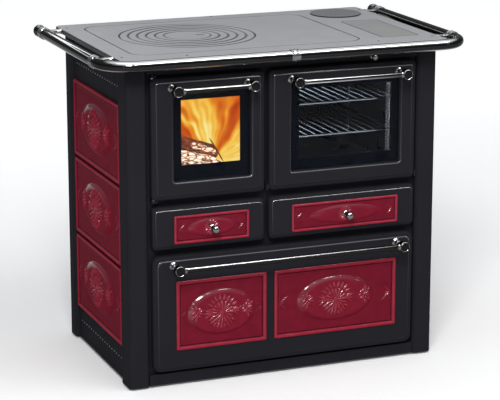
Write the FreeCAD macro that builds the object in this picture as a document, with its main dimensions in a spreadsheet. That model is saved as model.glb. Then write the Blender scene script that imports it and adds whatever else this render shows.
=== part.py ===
import FreeCAD, Part
import Sketcher
import os
import re

# Solid fuel range cooker: steel carcass on four posts, cast-iron hob with lift-out rings, glazed fire
# door and oven door, ash, tool and wood drawers, ceramic tiles and a towel rail round the hob.
# Millimetres. The origin is on the floor under the middle of the cooker, +X is to the right of
# somebody facing it, +Y runs to its back and +Z up.

SIZES = {
    # Front layout, from left to right
    "fire_width": 302,
    "split_gap": 13,
    "oven_width": 409,
    "post_gap": 8,
    "post_width": 55,
    # Front layout, from the floor up
    "foot_height": 5,
    "skirt_height": 6,
    "base_height": 30,
    "wood_bottom": 42,
    "wood_height": 305,
    "row_gap": 19,
    "small_height": 109,
    "door_height": 311,
    "fascia_gap": 7,
    "fascia_height": 33,
    "hob_thickness": 12,
    # Depth, from the front back
    "post_front": 249,
    "door_proud": 10,
    "door_thickness": 23,
    "door_gap": 4,
    "frame_thickness": 4,
    "fascia_depth": 13,
    "plinth_depth": 13,
    "plinth_gap": 7,
    "body_depth": 521,
    "back_setback": 7,
    "sheet_wall": 3,
    # Fits
    "seat_gap": 0.3,
    "slide_gap": 0.3,
    "pin_gap": 0.05,
    "tile_gap": 0.5,
    "glass_gap": 0.5,
    # Posts, feet and side panels
    "front_post_depth": 72,
    "rear_post_depth": 55,
    "post_round": 12,
    "post_wall": 3,
    "post_floor": 4,
    "foot_radius": 20,
    "panel_setback": 11,
    "roll_radius": 5,
    # Tiles
    "tile_thickness": 7,
    "tile_pocket": 4,
    "tile_border": 12,
    "tile_relief": 3,
    "side_tile_width": 383,
    "side_tile_height": 204,
    "side_tile_bottom": 97,
    "side_tile_gap": 9,
    "side_tile_shift": 19.5,
    "side_boss_length": 254,
    "side_boss_height": 130,
    "ash_tile_left": 56,
    "ash_tile_width": 202,
    "ash_boss_length": 128,
    "tool_tile_left": 61,
    "tool_tile_width": 299,
    "tool_boss_length": 196,
    "small_tile_bottom": 13,
    "small_tile_height": 73,
    "small_boss_height": 46,
    "wood_tile_left": 60,
    "wood_tile_width": 246,
    "wood_boss_length": 183,
    "wood_tile_gap": 22,
    "wide_tile_width": 345,
    "wide_boss_length": 216,
    "wood_tile_bottom": 56,
    "wood_tile_height": 183,
    "wood_boss_height": 120,
    # Doors
    "door_round": 10,
    "fire_stile_left": 59,
    "fire_stile_right": 38,
    "oven_stile_left": 61,
    "oven_stile_right": 46,
    "door_bottom_rail": 46,
    "door_top_rail": 39,
    "door_lip": 10,
    "window_bevel": 5,
    "glass_overlap": 12,
    "glass_thickness": 4,
    "clip_thickness": 5,
    "gasket_inset": 8,
    "gasket_width": 12,
    # Door hinges
    "pin_radius": 4,
    "pin_inset": 8,
    "pin_back": 15,
    "pin_depth": 12,
    "lug_gap": 1,
    "lug_thickness": 5,
    "lug_margin": 4,
    # Handles and knobs
    "bar_radius": 7,
    "handle_reach": 48,
    "handle_base": 3,
    "handle_base_radius": 9,
    "handle_stem_radius": 5.5,
    "handle_bead_radius": 9,
    "handle_bead_reach": 16,
    "drum_radius": 14,
    "drum_length": 18,
    "door_handle_drop": 26,
    "fire_handle_left": 53,
    "fire_handle_length": 202,
    "oven_handle_left": 59,
    "oven_handle_length": 299,
    "wood_handle_drop": 24,
    "wood_handle_left": 53,
    "wood_handle_length": 620,
    "knob_radius": 11,
    "knob_half_depth": 8,
    "knob_reach": 28,
    "knob_stem_radius": 4.5,
    "knob_base_radius": 9,
    "knob_base": 3,
    # Fire side
    "opening_inset": 24,
    "firebox_inset": 10,
    "firebox_drop": 14,
    "firebox_headroom": 5,
    "firebox_depth": 424,
    "firebox_wall": 4,
    "brick_thickness": 30,
    "brick_height": 200,
    "grate_thickness": 12,
    "grate_slot_width": 12,
    "grate_slot_pitch": 24,
    "grate_slot_margin": 60,
    # Oven side
    "oven_depth": 418,
    "rod_radius": 3,
    "wire_radius": 1.6,
    "guide_standoff": 4,
    "guide_offset": 9,
    "rack_inset": 2.5,
    "guide_front": 70,
    "guide_back": 90,
    "guide_rise": 35,
    "lower_guide": 90,
    "upper_guide": 175,
    "rack_front": 30,
    "rack_back": 25,
    # Drawers
    "tray_side": 20,
    "tray_rise": 14,
    "tray_drop": 22,
    "tray_depth": 400,
    "tray_wall": 2,
    "mouth_gap": 5,
    "runner_height": 10,
    "runner_width": 24,
    # Flue damper
    "damper_x": 237,
    "damper_rise": 10,
    "damper_rod_radius": 4,
    "damper_rod_length": 420,
    "damper_knob_radius": 8,
    "damper_knob_reach": 26,
    "damper_neck_radius": 5,
    "damper_neck": 12,
    "damper_plate_width": 96,
    "damper_plate_height": 34,
    "damper_plate_thickness": 3,
    # Flue spigot and back screws
    "flue_x": 268,
    "flue_drop": 125,
    "spigot_radius": 65,
    "spigot_wall": 3,
    "spigot_inside": 20,
    "spigot_length": 57.5,
    "flange_radius": 82,
    "screw_radius": 2.5,
    "screw_head_radius": 5,
    "screw_head": 3,
    "screw_margin": 18,
    # Hob
    "hob_side": 18,
    "hob_front": 34,
    "hob_back": 27,
    "hob_round": 16,
    "cook_thickness": 8,
    "cook_ledge": 8,
    "cook_round": 45,
    "cook_left": 55,
    "cook_width": 623,
    "cook_front": 70,
    "cook_length": 458,
    "ring_x": -165,
    "ring_y": 24,
    "ring_outer": 178,
    "ring_step": 23.4,
    "ring_ledge": 6,
    "ring_flange": 4,
    "seam_gap": 0.8,
    "notch_length": 22,
    "notch_width": 9,
    "notch_depth": 4,
    "notch_offset": 36,
    "cap_x": 336,
    "cap_y": 202,
    "cap_radius": 70,
    "cap_proud": 3,
    "cap_hole_radius": 60,
    "cap_plug": 8,
    "access_x": 348,
    "access_width": 104,
    "access_y": -55,
    "access_length": 270,
    "access_round": 10,
    # Towel rail
    "rail_radius": 14,
    "rail_wall": 1.5,
    "rail_side": 46,
    "rail_front": 23,
    "rail_bend": 84,
    "rail_drop": 9,
    "rail_back": 275,
    "ball_radius": 16.5,
    "ball_offset": 9,
    "collar_radius": 16.5,
    "collar_length": 24,
    "arm_radius": 6,
    "bracket_front_y": -205,
    "bracket_back_y": 240,
}

SIDE_TILES = 3
GRATE_SLOTS = 8
RACK_WIRES = 13
HOB_RINGS = 5
BACK_SCREW_ROWS = 3
TOUCH = 1e-6

doc = FreeCAD.newDocument("range_cooker")
sheet = doc.addObject("Spreadsheet::Sheet", "Sizes")
for row, (alias, number) in enumerate(SIZES.items(), 1):
    sheet.set(f"A{row}", str(number))
    sheet.setAlias(f"A{row}", alias)
doc.recompute()

WORD = re.compile(r"[a-z]+(?:_[a-z]+)*")
sub_parts = []


# Places that several pieces share, as expressions over the sheet

FRONT_WIDTH = "(fire_width + split_gap + oven_width)"
FRONT_LEFT = f"(-{FRONT_WIDTH} / 2)"
FRONT_RIGHT = f"({FRONT_WIDTH} / 2)"
FIRE_X = (FRONT_LEFT, f"({FRONT_LEFT} + fire_width)")
OVEN_X = (f"({FRONT_RIGHT} - oven_width)", FRONT_RIGHT)
WOOD_X = (FRONT_LEFT, FRONT_RIGHT)
POST_INSIDE = f"({FRONT_RIGHT} + post_gap)"
POST_OUTSIDE = f"({POST_INSIDE} + post_width)"
BETWEEN_POSTS = (f"(-{POST_INSIDE})", POST_INSIDE)

WOOD_Z = ("wood_bottom", "(wood_bottom + wood_height)")
SMALL_Z = (f"({WOOD_Z[1]} + row_gap)", f"({WOOD_Z[1]} + row_gap + small_height)")
DOOR_Z = (f"({SMALL_Z[1]} + row_gap)", f"({SMALL_Z[1]} + row_gap + door_height)")
FASCIA_BOTTOM = f"({DOOR_Z[1]} + fascia_gap)"
DECK = f"({FASCIA_BOTTOM} + fascia_height)"
HOB_TOP = f"({DECK} + hob_thickness)"

POST_FRONT = "(-post_front)"
BODY_BACK = "(body_depth - post_front)"
FRONT_POST_Y = (POST_FRONT, "(front_post_depth - post_front)")
REAR_POST_Y = (f"({BODY_BACK} - rear_post_depth)", BODY_BACK)
DOOR_FRONT = f"({POST_FRONT} - door_proud)"
DOOR_BACK = f"({DOOR_FRONT} + door_thickness)"
FRAME_FRONT = f"({DOOR_BACK} + door_gap)"
FRAME_BACK = f"({FRAME_FRONT} + frame_thickness)"
BACK_OUTSIDE = f"({BODY_BACK} - back_setback)"
BACK_INSIDE = f"({BACK_OUTSIDE} - sheet_wall)"
PANEL_OUTSIDE = f"({POST_OUTSIDE} - panel_setback)"
PANEL_INSIDE = f"({PANEL_OUTSIDE} - sheet_wall)"
TILE_BACK = f"({DOOR_FRONT} + tile_pocket)"
TILE_FACE = f"({TILE_BACK} - tile_thickness)"
PIN_Y = f"({DOOR_FRONT} + pin_back)"

DAMPER_Z = f"({FASCIA_BOTTOM} + damper_rise)"
FLUE_Z = f"({DECK} - flue_drop)"
FASCIA_FRONT = f"({FRAME_FRONT} - fascia_depth)"

HOB_X = f"({POST_OUTSIDE} + hob_side)"
HOB_FRONT = f"({POST_FRONT} - hob_front)"
HOB_BACK = f"({BODY_BACK} + hob_back)"
COOK_X = (f"(-{HOB_X} + cook_left)", f"(-{HOB_X} + cook_left + cook_width)")
COOK_Y = (f"({HOB_FRONT} + cook_front)", f"({HOB_FRONT} + cook_front + cook_length)")
LEDGE_TOP = f"({HOB_TOP} - cook_thickness)"
LIFT_BOTTOM = f"({LEDGE_TOP} + seat_gap)"
RING_SEAT = f"({HOB_TOP} - ring_flange)"
ACCESS_X = ("(access_x - access_width / 2)", "(access_x + access_width / 2)")
ACCESS_Y = ("(access_y - access_length / 2)", "(access_y + access_length / 2)")
RAIL_X = f"({HOB_X} + rail_side)"
RAIL_Y = f"({HOB_FRONT} - rail_front)"
RAIL_Z = f"({HOB_TOP} - rail_drop)"


def tie(expression):
    """The expression with each size's name pointed at its cell."""
    return WORD.sub(lambda word: f"Sizes.{word[0]}" if word[0] in SIZES else word[0], expression)


def value(expression):
    """The expression's number for the sheet as it stands."""
    return float(sheet.evalExpression(tie(expression)))


def bind(obj, prop, expression):
    obj.setExpression(prop, tie(expression))


def grow(span, amount):
    """A (low, high) span widened by the amount at both ends."""
    low, high = span
    return (f"({low} - ({amount}))", f"({high} + ({amount}))")


def shrink(span, amount):
    return grow(span, f"-({amount})")


def middle(span):
    return f"(({span[0]} + {span[1]}) / 2)"


def both_sides(inner, outer):
    """The spans of a pair of pieces that mirror each other across the middle of the cooker."""
    return {"left": (f"(-{outer})", f"(-{inner})"), "right": (inner, outer)}


# Primitives and booleans

TURNS = {
    "x": FreeCAD.Rotation(FreeCAD.Vector(0, 1, 0), 90),
    "y": FreeCAD.Rotation(FreeCAD.Vector(1, 0, 0), -90),
    "z": FreeCAD.Rotation(),
}


def place(obj, x, y, z):
    for axis, expression in zip("xyz", (x, y, z)):
        bind(obj, f"Placement.Base.{axis}", expression)
    return obj


def box(name, x, y, z):
    """A block between (low, high) spans along each axis."""
    solid = doc.addObject("Part::Box", name)
    for side, (low, high) in zip(("Length", "Width", "Height"), (x, y, z)):
        bind(solid, side, f"({high}) - ({low})")
    return place(solid, x[0], y[0], z[0])


def rod(name, axis, centre, radius, span):
    """A round bar along an axis: its centre on the two other axes, its radius and its span."""
    solid = doc.addObject("Part::Cylinder", name)
    bind(solid, "Radius", radius)
    bind(solid, "Height", f"({span[1]}) - ({span[0]})")
    solid.Placement.Rotation = TURNS[axis]
    start = list(centre)
    start.insert("xyz".index(axis), span[0])
    return place(solid, *start)


def ball(name, centre, radius):
    solid = doc.addObject("Part::Sphere", name)
    bind(solid, "Radius", radius)
    return place(solid, *centre)


def fuse(name, pieces):
    joined = doc.addObject("Part::MultiFuse", name)
    joined.Shapes = pieces
    return joined


def cut(name, base, tools):
    result = doc.addObject("Part::Cut", name)
    result.Base = base
    result.Tool = tools[0] if len(tools) == 1 else fuse(f"{name}_tools", tools)
    return result


def group(name, pieces):
    """Separate solids of one kind that share a node."""
    together = doc.addObject("Part::Compound", name)
    together.Links = pieces
    return together


def part(obj, label):
    """Name a finished piece and put it on the list of pieces to write."""
    obj.Label = label
    sub_parts.append(obj)
    return obj


def shell(name, outer, inner):
    """A block less a smaller block, each given as its x, y and z spans."""
    return cut(name, box(f"{name}_outside", *outer), [box(f"{name}_inside", *inner)])


# Sketched bodies

def new_body(name):
    return doc.addObject("PartDesign::Body", name)


def rectangle(across, up):
    return [(across[0], up[0]), (across[1], up[0]), (across[1], up[1]), (across[0], up[1])]


def sketch(owner, role, level, loops, circles=()):
    """Closed outlines on an origin plane of the body, moved along the plane's normal by level."""
    flat = owner.newObject("Sketcher::SketchObject", f"{owner.Name}_sketch")
    plane = next(feature for feature in owner.Origin.OriginFeatures if feature.Role == role)
    flat.AttachmentSupport = (plane, [""])
    flat.MapMode = "FlatFace"
    bind(flat, "AttachmentOffset.Base.z", level)
    for corners in loops:
        draw_outline(flat, corners)
    for across, up, radius in circles:
        draw_circle(flat, across, up, radius)
    return flat


def fix_point(flat, curve, point, across, up):
    """Hold a point of a sketched curve at expressions measured from the sketch's origin."""
    for kind, expression in (("DistanceX", across), ("DistanceY", up)):
        held = Sketcher.Constraint(kind, -1, 1, curve, point, value(expression))
        bind(flat, f"Constraints[{flat.addConstraint(held)}]", expression)


def draw_outline(flat, corners):
    first = flat.GeometryCount
    points = [FreeCAD.Vector(value(across), value(up), 0) for across, up in corners]
    for start, end in zip(points, points[1:] + points[:1]):
        flat.addGeometry(Part.LineSegment(start, end))
    for n, (across, up) in enumerate(corners):
        before = first + (n - 1) % len(corners)
        flat.addConstraint(Sketcher.Constraint("Coincident", before, 2, first + n, 1))
        fix_point(flat, first + n, 1, across, up)


def draw_circle(flat, across, up, radius):
    centre = FreeCAD.Vector(value(across), value(up), 0)
    curve = flat.addGeometry(Part.Circle(centre, FreeCAD.Vector(0, 0, 1), value(radius)))
    fix_point(flat, curve, 3, across, up)
    sized = Sketcher.Constraint("Radius", curve, value(radius))
    bind(flat, f"Constraints[{flat.addConstraint(sized)}]", radius)


def pad(owner, profile, length):
    feature = owner.newObject("PartDesign::Pad", f"{owner.Name}_pad")
    feature.Profile = profile
    bind(feature, "Length", length)


def pocket(owner, profile, depth, backward=False):
    """Cut against the sketch's normal, or along it when backward, and make sure that it cuts."""
    doc.recompute()
    before = owner.Tip.Shape.Volume
    feature = owner.newObject("PartDesign::Pocket", f"{owner.Name}_pocket")
    feature.Profile = profile
    feature.Reversed = backward
    bind(feature, "Length", depth)
    doc.recompute()
    if feature.Shape.Volume >= before:
        raise RuntimeError(f"{feature.Name} cuts nothing")


def revolve(owner, corners):
    """Turn a closed outline of (radius, height) corners about the body's upright axis."""
    feature = owner.newObject("PartDesign::Revolution", f"{owner.Name}_revolution")
    profile = sketch(owner, "XZ_Plane", "0", [corners])
    feature.Profile = profile
    feature.ReferenceAxis = (profile, ["V_Axis"])


def dress(owner, kind, prop, amount, wanted):
    """Fillet or chamfer the edges of the body's last feature that the wanted test picks."""
    doc.recompute()
    base = owner.Tip
    edges = [f"Edge{n}" for n, edge in enumerate(base.Shape.Edges, 1) if wanted(edge)]
    feature = owner.newObject(f"PartDesign::{kind}", f"{owner.Name}_{kind.lower()}")
    feature.Base = (base, edges)
    bind(feature, prop, amount)


def round_edges(owner, radius, wanted):
    dress(owner, "Fillet", "Radius", radius, wanted)


def lies_at(axis, expression):
    """A test for edges that lie wholly at one height along an axis."""
    level = value(expression)
    return lambda edge: all(abs(getattr(v.Point, axis) - level) < TOUCH for v in edge.Vertexes)


def lies_within(axis, span):
    """A test for edges that stay between two places along an axis."""
    low, high = value(span[0]) - TOUCH, value(span[1]) + TOUCH
    return lambda edge: all(low < getattr(v.Point, axis) < high for v in edge.Vertexes)


def upright(edge):
    """A straight edge along Z."""
    ends = [vertex.Point for vertex in edge.Vertexes]
    if len(ends) != 2:
        return False
    run = ends[1] - ends[0]
    return abs(run.z) > TOUCH and run.cross(FreeCAD.Vector(0, 0, 1)).Length < TOUCH


def rounded_slab(name, x, y, z, radius):
    """A flat plate with its upright corners rounded."""
    owner = new_body(name)
    pad(owner, sketch(owner, "XY_Plane", z[0], [rectangle(x, y)]), f"({z[1]}) - ({z[0]})")
    round_edges(owner, radius, upright)
    return owner


# Carcass

def make_post(name, x, y):
    """A rounded sheet-steel post, hollow from the top, with a floor for its foot."""
    outside = rounded_slab(f"{name}_outside", x, y, ("foot_height", DECK), "post_round")
    hollow = rounded_slab(f"{name}_hollow", shrink(x, "post_wall"), shrink(y, "post_wall"),
                          ("(foot_height + post_floor)", DECK), "post_round - post_wall")
    return cut(name, outside, [hollow])


def make_posts():
    feet = []
    for label, y in (("front_posts", FRONT_POST_Y), ("rear_posts", REAR_POST_Y)):
        posts = []
        for side, x in both_sides(POST_INSIDE, POST_OUTSIDE).items():
            posts.append(make_post(f"{label}_{side}", x, y))
            spot = (middle(x), middle(y))
            feet.append(rod(f"{label}_{side}_foot", "z", spot, "foot_radius", ("0", "foot_height")))
        part(group(label, posts), label)
    part(group("foot_pads", feet), "foot_pads")


def make_side_panels():
    """Sheet panels between the posts, with a rolled lower edge."""
    y = (FRONT_POST_Y[1], REAR_POST_Y[0])
    panels = []
    for side, x in both_sides(PANEL_INSIDE, PANEL_OUTSIDE).items():
        flat = box(f"{side}_panel_sheet", x, y, ("skirt_height + roll_radius", DECK))
        spot = (middle(x), "(skirt_height + roll_radius)")
        roll = rod(f"{side}_panel_roll", "y", spot, "roll_radius", y)
        panels.append(fuse(f"{side}_panel", [flat, roll]))
    part(group("side_panels", panels), "side_panels")


def make_front_frame():
    """The recessed plate behind the doors and drawers, with the fascia that closes it at the top."""
    mouths = [fire_opening(), oven_opening()] + [drawer_mouth(x, z) for x, z in DRAWERS.values()]
    loops = [rectangle(BETWEEN_POSTS, ("skirt_height", DECK))] + [rectangle(x, z) for x, z in mouths]
    plate = new_body("front_plate")
    pad(plate, sketch(plate, "XZ_Plane", f"-{FRAME_BACK}", loops), "frame_thickness")
    fascia = box("front_fascia", BETWEEN_POSTS, (FASCIA_FRONT, FRAME_FRONT), (FASCIA_BOTTOM, DECK))
    hole = rod("damper_hole", "y", ("damper_x", DAMPER_Z), "damper_rod_radius + slide_gap",
               (FASCIA_FRONT, FRAME_BACK))
    part(cut("front_frame", fuse("front_frame_blank", [plate, fascia]), [hole]), "front_frame")


def make_base_and_plinth():
    base = ("base_height", "(base_height + sheet_wall)")
    part(box("base_plate", BETWEEN_POSTS, (FRAME_BACK, BACK_INSIDE), base), "base_plate")
    plinth = new_body("plinth")
    outline = rectangle(BETWEEN_POSTS, ("skirt_height", "wood_bottom - plinth_gap"))
    pad(plinth, sketch(plinth, "XZ_Plane", f"-{FRAME_FRONT}", [outline]), "plinth_depth")
    part(plinth, "plinth")


def make_back():
    """The back panel with its screws, and the flue spigot that leaves through it."""
    spot = ("flue_x", FLUE_Z)
    through = (BACK_INSIDE, BACK_OUTSIDE)
    holes = [rod("flue_hole", "y", spot, "spigot_radius + seat_gap", through)]
    screws = []
    rise = f"(({DECK} - skirt_height - 2 * screw_margin) / {BACK_SCREW_ROWS - 1})"
    columns = shrink(BETWEEN_POSTS, "screw_margin")
    for side, x in zip(("left", "right"), columns):
        for n in range(BACK_SCREW_ROWS):
            at = (x, f"(skirt_height + screw_margin + {n} * {rise})")
            name = f"back_screw_{side}_{n}"
            holes.append(rod(f"{name}_hole", "y", at, "screw_radius + pin_gap", through))
            shank = rod(f"{name}_shank", "y", at, "screw_radius", through)
            head = rod(f"{name}_head", "y", at, "screw_head_radius",
                       (BACK_OUTSIDE, f"({BACK_OUTSIDE} + screw_head)"))
            screws.append(fuse(name, [shank, head]))
    sheet_metal = box("back_sheet", BETWEEN_POSTS, through, ("skirt_height", DECK))
    part(cut("back_panel", sheet_metal, holes), "back_panel")
    part(group("back_screws", screws), "back_screws")
    span = (f"({BACK_INSIDE} - spigot_inside)", f"({BACK_OUTSIDE} + spigot_length)")
    pipe = rod("spigot_pipe", "y", spot, "spigot_radius", span)
    flange = rod("spigot_flange", "y", spot, "flange_radius",
                 (BACK_OUTSIDE, f"({BACK_OUTSIDE} + spigot_wall)"))
    bore = rod("spigot_bore", "y", spot, "spigot_radius - spigot_wall", span)
    part(cut("flue_spigot", fuse("spigot_blank", [pipe, flange]), [bore]), "flue_spigot")


# Tiles

def make_tile(name, width, height, boss_length, boss_height):
    """A pressed tile centred on the origin, its back on the XZ plane: border, sunk field, oval boss."""
    face = "(-tile_thickness)"
    field = "(-tile_thickness + tile_relief)"
    x = (f"(-({width}) / 2)", f"(({width}) / 2)")
    z = (f"(-({height}) / 2)", f"(({height}) / 2)")
    tray = shell(f"{name}_tray", (x, (face, "0"), z),
                 (shrink(x, "tile_border"), (face, field), shrink(z, "tile_border")))
    oval = doc.addObject("Part::Ellipse", f"{name}_oval")
    bind(oval, "MajorRadius", f"({boss_length}) / 2")
    bind(oval, "MinorRadius", f"({boss_height}) / 2")
    oval.Placement.Rotation = FreeCAD.Rotation(FreeCAD.Vector(1, 0, 0), 90)
    bind(oval, "Placement.Base.y", field)
    boss = doc.addObject("Part::Extrusion", f"{name}_boss")
    boss.Base = oval
    boss.DirMode = "Custom"
    boss.Dir = FreeCAD.Vector(0, -1, 0)
    boss.Solid = True
    bind(boss, "LengthFwd", "tile_relief")
    return fuse(name, [tray, boss])


def make_side_tiles():
    tiles = []
    for side, sign, turn in (("left", "-", -90), ("right", "", 90)):
        for n in range(SIDE_TILES):
            tile = make_tile(f"{side}_tile_{n}", "side_tile_width", "side_tile_height",
                             "side_boss_length", "side_boss_height")
            tile.Placement.Rotation = FreeCAD.Rotation(FreeCAD.Vector(0, 0, 1), turn)
            rise = f"side_tile_bottom + side_tile_height / 2 + {n} * (side_tile_height + side_tile_gap)"
            tiles.append(place(tile, f"{sign}{PANEL_OUTSIDE}", "side_tile_shift", rise))
    part(group("side_tiles", tiles), "side_tiles")


# Openings in the front frame

def fire_opening():
    return shrink(FIRE_X, "opening_inset"), shrink(DOOR_Z, "opening_inset")


def oven_opening():
    return shrink(OVEN_X, "opening_inset"), shrink(DOOR_Z, "opening_inset")


DRAWERS = {"ash": (FIRE_X, SMALL_Z), "tool": (OVEN_X, SMALL_Z), "wood": (WOOD_X, WOOD_Z)}


def tray_spans(x, z):
    """The x and z spans of the tray behind a drawer front."""
    return shrink(x, "tray_side"), (f"({z[0]} + tray_rise)", f"({z[1]} - tray_drop)")


def drawer_mouth(x, z):
    across, up = tray_spans(x, z)
    return grow(across, "mouth_gap"), (f"({up[0]} - seat_gap)", f"({up[1]} + mouth_gap)")


# Fire side and oven side

def make_firebox():
    """Steel firebox open at the front and the top, brick lining, and the grate that it stands on."""
    x = shrink(FIRE_X, "firebox_inset")
    inner_x = shrink(x, "firebox_wall")
    bottom = f"({DOOR_Z[0]} - firebox_drop)"
    back = f"({FRAME_BACK} + firebox_depth)"
    inner_back = f"({back} - firebox_wall)"
    z = (bottom, f"({DECK} - firebox_headroom)")
    part(shell("firebox", (x, (FRAME_BACK, back), z), (inner_x, (FRAME_BACK, inner_back), z)), "firebox")
    grate_top = f"({bottom} + grate_thickness)"
    plate = box("grate_plate", inner_x, (FRAME_BACK, inner_back), (bottom, grate_top))
    slots = []
    for n in range(GRATE_SLOTS):
        centre = f"({middle(x)} + ({n - (GRATE_SLOTS - 1) / 2}) * grate_slot_pitch)"
        across = grow((centre, centre), "grate_slot_width / 2")
        slots.append(box(f"grate_slot_{n}", across, shrink((FRAME_BACK, inner_back), "grate_slot_margin"),
                         (bottom, grate_top)))
    part(cut("fire_grate", plate, slots), "fire_grate")
    brick_z = (grate_top, f"({grate_top} + brick_height)")
    left = (inner_x[0], f"({inner_x[0]} + brick_thickness)")
    right = (f"({inner_x[1]} - brick_thickness)", inner_x[1])
    brick_back = f"({inner_back} - brick_thickness)"
    bricks = [box("left_brick", left, (FRAME_BACK, inner_back), brick_z),
              box("right_brick", right, (FRAME_BACK, inner_back), brick_z),
              box("back_brick", (left[1], right[0]), (brick_back, inner_back), brick_z)]
    part(group("firebricks", bricks), "firebricks")


def make_oven():
    """Oven liner, the wire ladders on its walls, and two wire racks laid on them."""
    x, z = oven_opening()
    back = f"({FRAME_BACK} + oven_depth)"
    outer = (grow(x, "sheet_wall"), (FRAME_BACK, f"({back} + sheet_wall)"), grow(z, "sheet_wall"))
    part(shell("oven_box", outer, (x, (FRAME_BACK, back), z)), "oven_box")
    levels = [f"({z[0]} + lower_guide)", f"({z[0]} + upper_guide)"]
    posts_y = (f"({FRAME_BACK} + guide_front)", f"({back} - guide_back)")
    rails_y = (f"({posts_y[0]} - rod_radius)", f"({posts_y[1]} + rod_radius)")
    ladders = []
    for side, wall, sign in (("left", x[0], "+"), ("right", x[1], "-")):
        post_x = f"({wall} {sign} guide_standoff)"
        rail_x = f"({wall} {sign} guide_offset)"
        rods = [rod(f"{side}_guide_rail_{n}", "y", (rail_x, level), "rod_radius", rails_y)
                for n, level in enumerate(levels)]
        for n, y in enumerate(posts_y):
            upright_z = shrink(z, "guide_rise")
            rods.append(rod(f"{side}_guide_post_{n}", "z", (post_x, y), "rod_radius", upright_z))
            for m, level in enumerate(levels):
                reach = (wall, post_x) if sign == "+" else (post_x, wall)
                rods.append(rod(f"{side}_guide_foot_{n}_{m}", "x", (y, level), "rod_radius", reach))
        ladders.append(fuse(f"{side}_guide", rods))
    part(group("oven_rack_guides", ladders), "oven_rack_guides")
    lift = "sqrt((2 * rod_radius + seat_gap)^2 - rack_inset^2)"
    rack_x = shrink(x, "guide_offset + rack_inset")
    rack_y = (f"({FRAME_BACK} + rack_front)", f"({back} - rack_back)")
    racks = [make_rack(f"rack_{n}", rack_x, rack_y, f"({level} + {lift})") for n, level in enumerate(levels)]
    part(group("oven_racks", racks), "oven_racks")


def make_rack(name, x, y, z):
    rods = [rod(f"{name}_side_{n}", "y", (at, z), "rod_radius", y) for n, at in enumerate(x)]
    rods += [rod(f"{name}_end_{n}", "x", (at, z), "rod_radius", x) for n, at in enumerate(y)]
    for n in range(RACK_WIRES):
        across = f"({x[0]} + ({x[1]} - {x[0]}) * {n + 1} / {RACK_WIRES + 1})"
        rods.append(rod(f"{name}_wire_{n}", "y", (across, z), "wire_radius", y))
    return fuse(name, rods)


# Doors

def make_door(name, x, stiles, bores):
    """Door panel with a bevelled window, the pane, the clip frame that holds it and the rope seal."""
    z = DOOR_Z
    window_x = (f"({x[0]} + {stiles[0]})", f"({x[1]} - {stiles[1]})")
    window_z = (f"({z[0]} + door_bottom_rail)", f"({z[1]} - door_top_rail)")
    seat_x = grow(window_x, "glass_overlap")
    seat_z = grow(window_z, "glass_overlap")
    owner = new_body(f"{name}_panel_blank")
    pad(owner, sketch(owner, "XZ_Plane", f"-{DOOR_BACK}", [rectangle(x, z)]), "door_thickness")
    round_edges(owner, "door_round", lies_at("y", DOOR_FRONT))
    window = sketch(owner, "XZ_Plane", f"-{DOOR_FRONT}", [rectangle(window_x, window_z)])
    pocket(owner, window, "door_thickness")
    seat = sketch(owner, "XZ_Plane", f"-{DOOR_BACK}", [rectangle(seat_x, seat_z)])
    pocket(owner, seat, "door_thickness - door_lip", backward=True)
    on_front = lies_at("y", DOOR_FRONT)
    on_window = lies_within("x", window_x)
    dress(owner, "Chamfer", "Size", "window_bevel", lambda edge: on_front(edge) and on_window(edge))
    part(cut(f"{name}_panel", owner, bores), f"{name}_panel")
    glass_front = f"({DOOR_FRONT} + door_lip)"
    glass_back = f"({glass_front} + glass_thickness)"
    pane_x = shrink(seat_x, "glass_gap")
    pane_z = shrink(seat_z, "glass_gap")
    part(box(f"{name}_glass", pane_x, (glass_front, glass_back), pane_z), f"{name}_glass")
    clip_y = (glass_back, f"({glass_back} + clip_thickness)")
    part(shell(f"{name}_glass_frame", (pane_x, clip_y, pane_z), (window_x, clip_y, window_z)),
         f"{name}_glass_frame")
    seal_y = (DOOR_BACK, f"({FRAME_FRONT} - seat_gap)")
    seal = (shrink(x, "gasket_inset"), seal_y, shrink(z, "gasket_inset"))
    inner = "gasket_inset + gasket_width"
    part(shell(f"{name}_gasket", seal, (shrink(x, inner), seal_y, shrink(z, inner))), f"{name}_gasket")


def hinge_pieces(name, axis, spot, span):
    """Pins, their bores in the door and the lugs that carry them, at both ends of a door's span."""
    across = grow((spot[0], spot[0]), "pin_radius + lug_margin")
    along = (f"({PIN_Y} - pin_radius - lug_margin)", FRAME_FRONT)
    pins, bores, lugs = [], [], []
    for n, (end, out) in enumerate(((span[0], "-"), (span[1], "+"))):
        near = f"({end} {out} lug_gap)"
        far = f"({near} {out} lug_thickness)"
        deep = f"({end} {'+' if out == '-' else '-'} pin_depth)"
        lug_span = (far, near) if out == "-" else (near, far)
        pin_span = (far, deep) if out == "-" else (deep, far)
        pins.append(rod(f"{name}_pin_{n}", axis, spot_on(axis, spot), "pin_radius", pin_span))
        bores.append(rod(f"{name}_bore_{n}", axis, spot_on(axis, spot), "pin_radius + pin_gap", pin_span))
        block = (across, along, lug_span) if axis == "z" else (lug_span, along, across)
        eye = rod(f"{name}_eye_{n}", axis, spot_on(axis, spot), "pin_radius + pin_gap", lug_span)
        lugs.append(cut(f"{name}_lug_{n}", box(f"{name}_lug_blank_{n}", *block), [eye]))
    part(group(f"{name}_hinge_pins", pins), f"{name}_hinge_pins")
    return bores, lugs


def spot_on(axis, spot):
    """Centre of a hinge along Z, spot being (x, y), or along X, spot being (z, y)."""
    return spot if axis == "z" else (spot[1], spot[0])


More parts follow.
